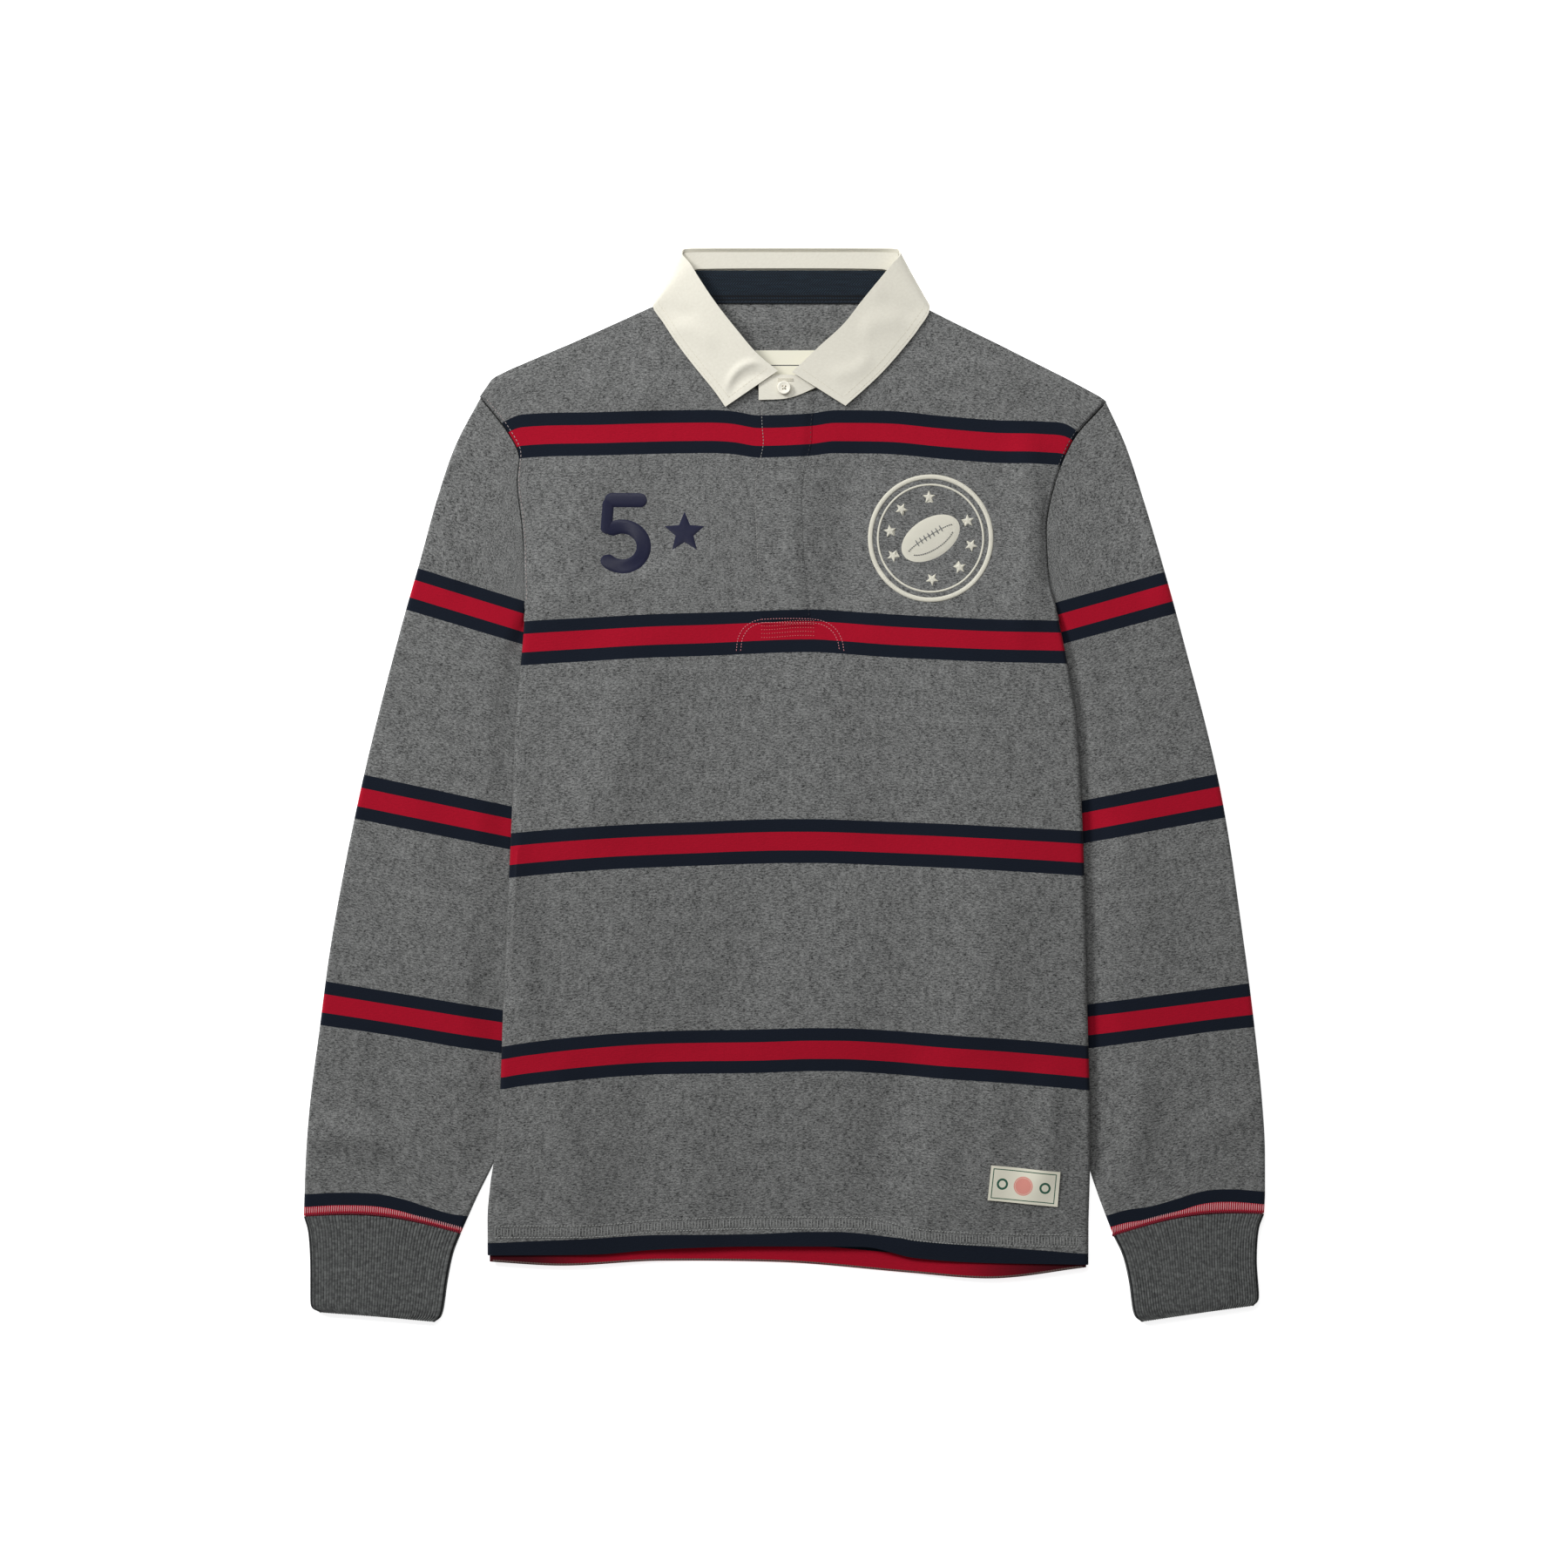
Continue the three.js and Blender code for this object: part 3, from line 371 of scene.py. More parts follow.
def panel_height(row, x, y, kind):
    """Height of a panel's middle: its side height close to the sides, sinking over a fixed
    width to the height of its middle, and lifted under the collar."""
    edge = np.minimum(x - row["left_x"], row["right_x"] - x)
    share = 1 - smooth((edge - row["tuck"] - SLOPE_START) / SLOPE)
    rise, start, over = NECK_LIFT[kind]
    lift = rise * smooth((y - start) / over) * (1 - smooth((np.abs(x - NECK_MIDDLE) - NECK_HALF) / NECK_FADE))
    if kind == "back":
        return mix(TABLE, row["back_top"], share) + lift
    return mix(FRONT_MIDDLE, row["front_top"], share) + lift + creased(x, y, FRONT_FOLDS)


def side_profile(row, kind):
    """Distances inside the outline and heights down one side of every row, hidden end first:
    a flat return and a half-circle fold, or at the armhole a small curl or a flat inset."""
    back = kind == "back"
    top = row[kind + "_top"]
    radius = FOLD_RADIUS - (NEST if back else 0)
    middle = top - FOLD_RADIUS + (NEST if back else 0)
    centre = CLOTH / 2 + FOLD_RADIUS
    tuck = row["tuck"] - (BACK_SHORT if back else 0) * smooth(row["tuck"] / 10)
    k = np.arange(PANEL_SIDE)
    angle = np.radians(-90 + 180 * k / (PANEL_SIDE - 1))
    returned, folded = centre + tuck * (1 - k / PANEL_SIDE), centre - radius * np.cos(angle) + 0 * tuck
    inside = np.concatenate([returned, folded], axis=1)
    height = np.concatenate([middle - radius + 0 * k, middle + radius * np.sin(angle)], axis=1)
    s = np.arange(2 * PANEL_SIDE) / (2 * PANEL_SIDE - 1)
    if back:
        open_inside, open_height = BACK_INSET + BACK_EDGE * s + 0 * tuck, top + 0 * s
        opened = smooth(1 - row["tuck"] / (RETURN / 2))
    else:
        turn = np.radians(CURL_FROM + CURL_TURN * s)
        open_inside = CLOTH / 2 + CURL_RADIUS * (1 - np.cos(turn)) + 0 * tuck
        open_height = top - CURL_RADIUS * (1 - np.sin(turn))
        opened = smooth(1 - row["tuck"] / 1.5)
    return mix(inside, open_inside, opened), mix(height, open_height, opened)


def panel_plan(row, u, v, kind):
    """Plan position at share u across and v up a panel, a Coons patch: straight between the
    two side edges, plus the bows of the hem and of the upper edge."""
    hem = np.array(PANELS[kind]["hem"])
    upper = np.array(SHOULDER_LEFT + PANELS[kind]["neck"] + SHOULDER_RIGHT)
    hem_bow = along(mix(hem[0, 0], hem[-1, 0], u), *hem.T) - mix(hem[0, 1], hem[-1, 1], u)
    at_top = mix(TIP_LEFT[0], TIP_RIGHT[0], u)
    top_bow = np.interp(at_top, *upper.T) - mix(TIP_LEFT[1], TIP_RIGHT[1], u)
    x = mix(row["left_x"], row["right_x"], u)
    return x, mix(row["left_y"], row["right_y"], u) + (1 - v) * hem_bow + v * top_bow


def panel_grid(kind, rows, top_columns):
    """The middle surface of a panel, hem row first."""
    hem = np.array(PANELS[kind]["hem"])
    v = np.linspace(0, 1, rows)[:, None]
    row = panel_frame(v)
    if kind == "back":
        for side_y, end in (("left_y", 0), ("right_y", -1)):
            row[side_y] = row[side_y] + (hem[end, 1] - ROWS[side_y][0]) * (1 - smooth(v * HEM_FADE))
    width = row["right_x"] - row["left_x"]
    inside, height = side_profile(row, kind)
    share = np.arange(1, top_columns) / top_columns
    u = np.concatenate([inside / width, mix(inside[:, -1:] / width, 1 - inside[:, -1:] / width, share),
                        (1 - inside / width)[:, ::-1]], axis=1)
    x, y = panel_plan(row, u, v, kind)
    z = panel_height(row, x, y, kind)
    roll = 1 - np.sin(np.pi / 2 * np.clip((1 - v) * SHOULDER_RUN / SHOULDER_ROLL, 0, 1))
    at_top = mix(TIP_LEFT[0], TIP_RIGHT[0], u)
    on_shoulder = (at_top < SHOULDER_LEFT[-1][0]) | (at_top > SHOULDER_RIGHT[0][0])
    drop = (SHOULDER_SEAM[kind] - z) * roll * on_shoulder
    side = np.concatenate([height, np.zeros((rows, top_columns - 1)), height[:, ::-1]], axis=1)
    flat = np.zeros_like(side, bool)
    flat[:, 2 * PANEL_SIDE:-2 * PANEL_SIDE] = True
    z = np.where(flat, z + drop, side + drop * TIP_ROLL)
    return np.stack([x, y, z], -1)


def girth(grid):
    """Distance along each row from its first point: the sum of the steps' lengths."""
    steps = np.linalg.norm(np.diff(grid, axis=1), axis=2)
    return np.concatenate([np.zeros((len(grid), 1)), np.cumsum(steps, axis=1)], axis=1)


def far_along(line):
    """Distance along a line of points from its first one."""
    return girth(np.asarray(line, float)[None])[0]


def stripe_lines(x, *names):
    """Height of each named stripe line at x."""
    return [along(x, STRIPES["x"], STRIPES[name]) for name in ("first", "second", "third", "fourth", *names)]


def panel_uv(grid, kind):
    """Across and along the knitting in millimetres, above and below. The hem is folded where
    navy meets red, so the turned-up allowance inside runs back up from there."""
    x, y = grid[..., 0], grid[..., 1]
    hem = np.array(PANELS[kind]["hem"])
    fold = -4 * REPEAT + RED_HALF
    edge = along(x, *hem.T)
    lines = stripe_lines(x, "band") + [edge]
    lines[-2] = lines[-2] - (BACK_BAND if kind == "back" else 0)
    outside = course(x, y, lines, [*STRIPE_COURSES, fold])
    inside = np.where(y - edge < HEM_TURN, fold - (y - edge), outside)
    across = girth(grid)
    across -= across[:, across.shape[1] // 2][:, None]
    sides = [np.stack([across, outside], -1), np.stack([across, inside], -1)]
    return np.stack(sides if kind == "front" else sides[::-1])


def group(name, inputs, outputs):
    """An empty shader node group with those sockets; returns it, its input and output nodes."""
    made = bpy.data.node_groups.new(name, "ShaderNodeTree")
    for socket, kind in inputs.items():
        made.interface.new_socket(socket, in_out="INPUT", socket_type="NodeSocket" + kind)
    for socket, kind in outputs.items():
        made.interface.new_socket(socket, in_out="OUTPUT", socket_type="NodeSocket" + kind)
    return made, made.nodes.new("NodeGroupInput"), made.nodes.new("NodeGroupOutput")


def maths(tree, operation, a, b=0.0, c=0.0):
    """One arithmetic node; returns its result."""
    return node(tree, "Math", {"operation": operation}, _0=a, _1=b, _2=c).outputs[0]


def blend(tree, factor, a, b, mode="MIX"):
    """Mixes two colours; returns the result."""
    made = tree.nodes.new("ShaderNodeMix")
    made.data_type = "RGBA"
    made.blend_type = mode
    for key, value in ((0, factor), (6, a), (7, b)):
        if isinstance(value, bpy.types.NodeSocket):
            tree.links.new(value, made.inputs[key])
        else:
            made.inputs[key].default_value = value
    return made.outputs[2]


def cloth_map(tree):
    """The piece's own cloth map: the vector, and its parts across and along the knitting."""
    vector = node(tree, "UVMap", {"uv_map": "cloth"}).outputs[0]
    parts = node(tree, "SeparateXYZ", Vector=vector).outputs
    return vector, parts["X"], parts["Y"]


def scaled(tree, vector, x, y):
    """The vector with its first two parts multiplied by x and y."""
    return node(tree, "VectorMath", {"operation": "MULTIPLY"}, _0=vector, _1=(x, y, 1)).outputs[0]


def noise(tree, vector, scale, detail, dimensions="2D", **values):
    """Soft noise over a vector."""
    return node(tree, "TexNoise", {"noise_dimensions": dimensions}, Vector=vector, Scale=scale, Detail=detail,
                **values).outputs[0]


def s_curve(tree, value, low, high, top=1.0):
    """0 below low, top above high and an S-curve between."""
    return node(tree, "MapRange", {"interpolation_type": "SMOOTHSTEP"}, Value=value, From_Min=low,
                From_Max=high, To_Max=top).outputs[0]


def finish(tree, shader, colour=None, height=None, strength=0.0, depth=0.0):
    """Sends a colour to the shader, and a height as bump of a depth in metres."""
    if colour:
        tree.links.new(colour, shader.inputs["Base Color"])
    if height:
        bump = node(tree, "Bump", Strength=strength, Distance=depth, Height=height)
        tree.links.new(bump.outputs[0], shader.inputs["Normal"])


# Marl: dark and pale fibres spun together show as short flecks along the knitting,
# gathered in soft clouds; the height is the same flecks with the knit's own loops.
marl, given, out = group("Marl", {"Cloth": "Vector"}, {"Fleck": "Float", "Cloud": "Float", "Height": "Float"})
flecks = noise(marl, scaled(marl, given.outputs[0], 0.3, 0.85), 1.0, 2.0, Roughness=0.6)
specks = noise(marl, scaled(marl, given.outputs[0], 0.7, 1.6), 1.0, 1.0)
specks = maths(marl, "MULTIPLY", specks, 0.45)
marl.links.new(maths(marl, "MULTIPLY_ADD", flecks, 0.55, specks), out.inputs["Fleck"])
marl.links.new(noise(marl, given.outputs[0], 0.11, 3.0), out.inputs["Cloud"])
loops = node(marl, "TexVoronoi", {"voronoi_dimensions": "2D"}, Scale=1.0, Randomness=0.55,
             Vector=scaled(marl, given.outputs[0], 0.95, 1.25))
marl.links.new(maths(marl, "MULTIPLY_ADD", loops.outputs[0], -0.6, flecks), out.inputs["Height"])

# Stripe courses: the distance to the nearest repeat says red, navy or ground.
courses, given, out = group("Stripe courses", {"Course": "Float"}, {"Red": "Float", "Navy": "Float"})
distance = maths(courses, "PINGPONG", given.outputs[0], REPEAT / 2)
courses.links.new(maths(courses, "LESS_THAN", distance, RED_HALF), out.inputs["Red"])
courses.links.new(maths(courses, "LESS_THAN", distance, STRIPE_HALF), out.inputs["Navy"])

GREY_DARK, GREY_PALE = srgb(22, 23, 24), srgb(145, 146, 145)
RED, NAVY = srgb(164, 12, 38), srgb(20, 26, 37)
# Painted shade: the red inside the back hem turns towards this dark red near the sides, where the front and
# its side folds would shade it.
HEM_PAINTED_SHADE = srgb(34, 10, 16)        # red inside the back hem where the sides fold over it
SHADE_MIDDLE, SHADE_FROM, SHADE_TO, SHADE_BELOW = 0.003, 0.1, 0.2, -0.335    # in metres


def jersey(name, painted_hem_shade=False):
    """Brushed jersey: marl ground, stripes in red and navy dye with a faint fleck, soft sheen at a low angle.
    On the back, the red inside the hem is painted darker towards the sides as shade.
    """
    made, tree, shader = principled(name, Roughness=0.95, Specular_IOR_Level=0.12, Sheen_Weight=0.05,
                                    Sheen_Roughness=0.5)
    vector, _, along_knit = cloth_map(tree)
    fibre = node(tree, "Group", {"node_tree": marl}, Cloth=vector)
    fleck = maths(tree, "MULTIPLY_ADD", fibre.outputs["Cloud"], 0.2, fibre.outputs["Fleck"])
    colour = blend(tree, s_curve(tree, fleck, 0.26, 0.93), GREY_DARK, GREY_PALE)
    stripe = node(tree, "Group", {"node_tree": courses}, Course=along_knit)
    red = RED
    # Painted shade: below the hem band, the red turns to a dark red towards both sides of the back.
    if painted_hem_shade:
        at = node(tree, "SeparateXYZ", Vector=node(tree, "TexCoord").outputs["Object"]).outputs
        aside = maths(tree, "ABSOLUTE", maths(tree, "SUBTRACT", at["X"], SHADE_MIDDLE))
        aside = s_curve(tree, aside, SHADE_FROM, SHADE_TO, 0.9)
        below = maths(tree, "LESS_THAN", at["Y"], SHADE_BELOW)
        red = blend(tree, maths(tree, "MULTIPLY", aside, below), RED, HEM_PAINTED_SHADE)
    stripe_dye_and_painted_shade = blend(tree, stripe.outputs["Red"], NAVY, red)
    shade = maths(tree, "MULTIPLY_ADD", fleck, 0.35, 0.78)
    shade = node(tree, "CombineColor", _0=shade, _1=shade, _2=shade).outputs[0]
    colour = blend(tree, stripe.outputs["Navy"], colour, blend(tree, 1.0, stripe_dye_and_painted_shade, shade, "MULTIPLY"))
    finish(tree, shader, colour, fibre.outputs["Height"], 0.35, 0.0004)
    return made


jersey_striped, jersey_back = jersey("jersey_striped"), jersey("jersey_back", painted_hem_shade=True)
front_grid, back_grid = panel_grid("front", 230, 150), panel_grid("back", 150, 120)
cloth_piece("front", front_grid, CLOTH, panel_uv(front_grid, "front"), jersey_striped)
cloth_piece("back", back_grid, CLOTH, panel_uv(back_grid, "back"), jersey_back)

# ---------------------------------------------------------------- placket
# The lap of the front opening, cut from the same jersey with its stripes matched.
# Its left edge lies free on the front; the right edge and foot are sewn down flat.
LAP_U, SEWN_U = 0.445, 0.534
LAP_FOOT = 0.7335                  # share of the way from hem to shoulder tip
LAP_ACROSS = -31                   # its free edge on the cloth's own map
FEATHER, LAP_THIN, LAP_SEWN = 7.0, 0.25, 0.2    # sewn edges thin out over this width, to this
GUESS_HIGH, GUESS_WIDE, STEP_HIGH = (-345, 629), (-205, 425), 640


def panel_at(x, y, kind="front"):
    """Height of a panel's middle at plan points: the share v up and u across that lead there
    are found by stepping towards the point, each time by what is missing."""
    x, y = np.broadcast_arrays(np.asarray(x, float), np.asarray(y, float))
    v = (y - GUESS_HIGH[0]) / GUESS_HIGH[1]
    u = (x - GUESS_WIDE[0]) / GUESS_WIDE[1]
    for _ in range(12):
        row = panel_frame(v)
        px, py = panel_plan(row, u, v, kind)
        u = u + (x - px) / (row["right_x"] - row["left_x"])
        v = np.clip(v + (y - py) / STEP_HIGH, 0, 1)
    return panel_height(panel_frame(v), x, y, kind)


lap_v = np.linspace(LAP_FOOT, 1, 75)[:, None]
lap_u = np.linspace(LAP_U, SEWN_U, 26)[None, :]
lap_x, lap_y = panel_plan(panel_frame(lap_v), lap_u, lap_v, "front")
from_sewn = np.minimum(lap_x[:, -1:] - lap_x, lap_y - lap_y[:1])
free = smooth(from_sewn / FEATHER)
lap_wall = mix(LAP_THIN, CLOTH, free)
lap_z = panel_height(panel_frame(lap_v), lap_x, lap_y, "front") + mix(CLOTH / 2 + LAP_SEWN, LAYER, free)
lap_grid = np.stack([lap_x, lap_y, lap_z], -1)
lap_course = course(lap_x, lap_y, stripe_lines(lap_x, "band"), STRIPE_COURSES)
cloth_piece("placket", lap_grid, lap_wall, np.stack([lap_x - LAP_ACROSS, lap_course], -1), jersey_striped)

# ---------------------------------------------------------------- sleeves
# Each sleeve is one jersey panel sewn into a tube and set into the armhole. Laid
# flat, its inner part lies pressed beneath the folded side of the body.
SLEEVE_COLUMNS = "outer_x outer_y contact_x contact_y inner_x inner_y pressed"
SLEEVES = {
    "left": {
        "side": 1,
        "cap": [(-240.6, 250.2), (-254, 211.8), (-267, 165)],
        "rows": columns(
            SLEEVE_COLUMNS,
            (-281, 115.8, -196, 88, -127, 82, 1),
            (-309.8, 0.6, -201, 15, -140, 14, 1),
            (-332.2, -114.6, -205.5, -105, -171, -102, 1),
            (-341, -180, -208.5, -170, -186, -167, 1),
            (-347.5, -229.8, -211.5, -222, -199, -220, 1),
            (-350.7, -268.2, -216, -268, -209, -267, 1),
            (-352, -301.4, -234, -305, -226.5, -305, 0),
            (-352.4, -316, -244, -326.5, -237, -328.5, 0)),
        # each stripe's middle as a plan point and a slope, then the cuff band's upper edge
        "stripes": ((-240, 134, 0.31), (-260, -19.6, 0.205), (-270, -171, 0.16)),
        "band": columns("x y", (-355, -300.5), (-325, -299), (-300, -299.8), (-280, -303.6), (-262, -309.4),
                        (-245, -314.4), (-225, -317)),
        "folds": [(-272, -88, -230, -152, 3, 13, 3.2), (-346, -255, -292, -265, 3, 11, 4.0),
                  (-296, 30, -262, -70, 8, 16, 2.6), (-262, 205, -240, 150, 4, 12, 2.4),
                  (-300, -190, -285, -250, 3, 14, -2.2)],
    },
    "right": {
        "side": -1,
        "cap": [(250.2, 250.2), (263, 211.8), (277, 165)],
        "rows": columns(
            SLEEVE_COLUMNS,
            (290.6, 115.8, 212, 88, 141, 82, 1),
            (319.4, 0.6, 220, 15, 158, 14, 1),
            (337.3, -114.6, 223.5, -105, 186, -102, 1),
            (345.6, -180, 225.5, -170, 200, -167, 1),
            (350.7, -229.8, 227.5, -222, 212, -220, 1),
            (353, -268.2, 230, -270, 221, -270, 1),
            (353.1, -298, 240, -305, 232, -305, 0),
            (352.4, -314, 248, -328, 241.5, -330, 0)),
        "stripes": ((240, 129, 0.28), (260, -19.6, 0.19), (270, -171, 0.125)),
        "band": columns("x y", (230, -318), (250, -312), (269, -309), (290, -303), (307, -298), (326, -296.5),
                        (355, -298.5)),
        "folds": [(345, -242, 300, -259, -3, 14, 2.2), (262, 215, 279, 120, 5, 12, 3.0),
                  (250, -30, 275, -120, -6, 16, 2.8), (262, -200, 255, -280, 3, 12, 3.0),
                  (236, 90, 250, 20, -4, 11, -2.2)],
    },
}
SLEEVE_TOP = 5.4
PRESSED = TABLE + LAYER            # height of the upper layer where the body lies on it
PRESSED_FROM, PRESSED_OVER = 0.8, 0.2    # shares of the way across, from the outer fold
NEAR_UNDERARM, UNDERARM_TOP = 0.8, 4.6   # share of the armhole, and the sleeve's height beyond it
INNER_START = (0.95, 100)          # where the inner fold starts: share inwards, and its y
CAP_SHARES = (0.25, 0.5, 0.75)
CAP_COURSES = ((150, 115), (20, 20))     # knitting above the first stripe: how far, and position
FOLDS_ABOVE, FOLDS_OVER = 3.2, 2   # only what lies higher than this is folded
SEAM_WAVE = 6                      # how far the cuff seam bows
SEAM_GAP, TIP_LAP = 0.15, 6        # left open at the armhole seam, and gaps lapped at its tip
SLEEVE_ROWS, SLEEVE_ACROSS, SLEEVE_UNDER, SLEEVE_TURN = 170, 50, 12, 7
UNDERARM = 10                      # the row of the body's table where the armhole ends


def armhole(name):
    """From the shoulder tip to the underarm: the outline, the front's height and the back's edge."""
    k = np.arange(len(ROWS["tuck"]) - 1, UNDERARM - 1, -1)
    x, y, top = ROWS[name + "_x"][k], ROWS[name + "_y"][k], ROWS["front_top"][k]
    v = (ROWS["left_y"][k] - ROWS["left_y"][0]) / (ROWS["left_y"][-1] - ROWS["left_y"][0])
    row = panel_frame(v[:, None])
    inset = BACK_INSET / (row["right_x"] - row["left_x"])
    back_x, back_y = panel_plan(row, inset if name == "left" else 1 - inset, v[:, None], "back")
    return x, y, top, back_x[:, 0], back_y[:, 0]


def sleeve_grid(name):
    """A sleeve's middle surface as closed rings from armhole to cuff. Each ring runs over the
    top from the outer fold to the line where the body touches it, on to the inner fold, round
    it, back along the table and round the outer fold."""
    data = SLEEVES[name]
    rows = data["rows"]
    x, y, top, back_x, back_y = armhole(name)
    outward = -data["side"] * SEAM_GAP
    knots = np.linspace(0, 1, len(x))
    share = np.linspace(0, 1, SLEEVE_ACROSS)
    hole_x = along(share, knots, x + outward * (1 + (knots == 1) - TIP_LAP * (knots == 0)))
    hole_y = along(share, knots, y)
    under_x, under_y = along(share, knots, back_x + outward), along(share, knots, back_y)
    hole_top = np.where(knots > NEAR_UNDERARM, UNDERARM_TOP, np.minimum(top, SLEEVE_TOP))
    hole_z = along(share, knots, np.where(knots == 1, PRESSED, hole_top))
    line_x = mix(rows["outer_x"][:, None], rows["contact_x"][:, None], share)
    line_y = mix(rows["outer_y"][:, None], rows["contact_y"][:, None], share)
    line_y[-1] += SEAM_WAVE * np.sin(np.pi * share)
    edge = smooth((share - PRESSED_FROM) / PRESSED_OVER)
    line_z = SLEEVE_TOP + (PRESSED - SLEEVE_TOP) * rows["pressed"][:, None] * edge
    tops, bottoms, inners = [], [], []
    first_inner = np.array([rows["inner_x"][0], rows["inner_y"][0]])
    hole_inner = np.array([mix(x[-1], first_inner[0], INNER_START[0]), INNER_START[1]])
    for t, cap in zip((0, *CAP_SHARES), (None, *data["cap"])):
        start = np.array([mix(hole_x[0], line_x[0, 0], t), mix(hole_y[0], line_y[0, 0], t)])
        bulge = (np.array(cap) - start if t else np.zeros(2))[:, None] * (1 - share) ** 1.5
        tops.append([mix(hole_x, line_x[0], t) + bulge[0], mix(hole_y, line_y[0], t) + bulge[1],
                     mix(hole_z, line_z[0], min(1, 2 * t))])
        from_x, from_y = (under_x, under_y) if t == 0 else (hole_x, hole_y)
        bottoms.append([mix(from_x, line_x[0], t) + bulge[0], mix(from_y, line_y[0], t) + bulge[1]])
        inners.append(mix(hole_inner, first_inner, t))
    top_line = np.concatenate([np.array(tops), np.stack([line_x, line_y, line_z], 1)])
    bottom_line = np.concatenate([np.array(bottoms), np.stack([line_x, line_y], 1)])
    inner = np.concatenate([np.array(inners), np.stack([rows["inner_x"], rows["inner_y"]], -1)])
    pressed = np.concatenate([np.ones(len(tops)), rows["pressed"]])
    inner_top = mix(SLEEVE_TOP, PRESSED, pressed)
    outer_radius, inner_radius = (top_line[:, 2, 0] - TABLE) / 2, (inner_top - TABLE) / 2
    axis = inner - top_line[:, :2, 0]
    axis /= np.linalg.norm(axis, axis=1, keepdims=True)

    def beside(base, distance, height):
        """Points at distances from a base point along each ring's own axis."""
        distance, height = np.broadcast_arrays(distance, height)
        plan = base[:, :2, None] + axis[:, :, None] * distance[:, None, :]
        return np.concatenate([plan, height[:, None, :]], 1)

    fade = (1 - share) ** 4
    outer_shift = (CLOTH / 2 + outer_radius)[:, None]
    inner_shift = (CLOTH / 2 + inner_radius)[:, None]
    upper = top_line.copy()
    upper[:, :2] += axis[:, :, None] * (outer_shift * fade)[:, None, :]
    lower = np.concatenate([bottom_line, np.full((len(inner), 1, len(share)), TABLE)], 1)
    lower[:, :2] += axis[:, :, None] * (outer_shift * fade)[:, None, :]
    turn = np.radians(np.linspace(90, -90, SLEEVE_TURN + 2))[1:-1]
    end = beside(inner, -inner_shift, inner_top[:, None])
    under_end = beside(inner, -inner_shift, np.full((len(inner), 1), TABLE))
    step = np.arange(1, SLEEVE_UNDER) / SLEEVE_UNDER
    parts = [upper, mix(upper[:, :, -1:], end, step), end,
             beside(inner, -inner_shift + inner_radius[:, None] * np.cos(turn),
                    TABLE + inner_radius[:, None] * (1 + np.sin(turn))),
             under_end, mix(under_end, lower[:, :, -1:], step), lower[:, :, ::-1],
             beside(top_line[:, :, 0], outer_shift - outer_radius[:, None] * np.cos(turn),
                    TABLE + outer_radius[:, None] * (1 + np.sin(turn)))[:, :, ::-1]]
    rings = np.concatenate(parts, axis=2).transpose(0, 2, 1)
    down = -rings[:, 0, 1]
    rings = along(np.linspace(down[0], down[-1], SLEEVE_ROWS), down, rings)
    on_top = smooth((rings[..., 2] - FOLDS_ABOVE) / FOLDS_OVER)
    rings[..., 2] += on_top * creased(rings[..., 0], rings[..., 1], data["folds"])
    return rings


def sleeve_course(name, x, y):
    """Position along the sleeve's knitting of a plan point, between its slanting stripes."""
    data = SLEEVES[name]
    lines = [y0 + (x - x0) * slope * -data["side"] for x0, y0, slope in data["stripes"]]
    cap, band = [lines[0] + up for up, _ in CAP_COURSES], along(x, data["band"]["x"], data["band"]["y"])
    above = [position for _, position in CAP_COURSES]
    return course(x, y, [*cap, *lines, band], [*above, *STRIPE_COURSES[:3], -3 * REPEAT + STRIPE_HALF])


for name in ("left", "right"):
    rings = np.roll(sleeve_grid(name), SLEEVE_ACROSS // 2 + SLEEVE_TURN, axis=1)
    uv = np.stack([girth(rings), sleeve_course(name, rings[..., 0], rings[..., 1])], -1)
    cloth_piece("sleeve_" + name, rings, CLOTH, uv, jersey_striped, around=True)

# ---------------------------------------------------------------- cuffs
# Tubes of 1 x 1 rib in the same marl, knitted double and folded at the wrist, sewn
# to the sleeve. The ribs are counted once at the seam, so they fan with the width.
RIB, RIB_DEPTH = 1.8, 0.4
CUFF_RIBS, COLUMNS_EACH, CUFF_ROWS, CUFF_TURN = 46, 6, 36, 12
CUFF_ACROSS = CUFF_RIBS * COLUMNS_EACH
CUFF_TOP, WRIST_DROP = 6.2, 1.4    # height, and how much lower it is at the wrist
WRIST_FROM, WRIST_OVER = 2.6, 1.4  # where it sinks, in rows of the table
CUFF_SHORT = 0.25                  # the seam's gap is this much wider than between layers
CUFF_COLUMNS = "outer_x outer_y inner_x inner_y wave"
CUFFS = {
    "left": columns(
        CUFF_COLUMNS,
        (-352.4, -316, -237, -328.5, 1),
        (-349.2, -328, -242.5, -343, 0.7),
        (-347.8, -350, -246.5, -362, 0.4),
        (-347.6, -379, -250.3, -386.5, 0.1),
        (-341, -385.8, -256, -393, 0)),
    "right": columns(
        CUFF_COLUMNS,
        (352.4, -314, 241.5, -330, 1),
        (348.4, -326, 248.5, -345, 0.7),
        (347, -348, 253, -364, 0.4),
        (348.6, -374, 256.3, -386.5, 0.1),
        (345, -381, 262, -393, 0)),
}


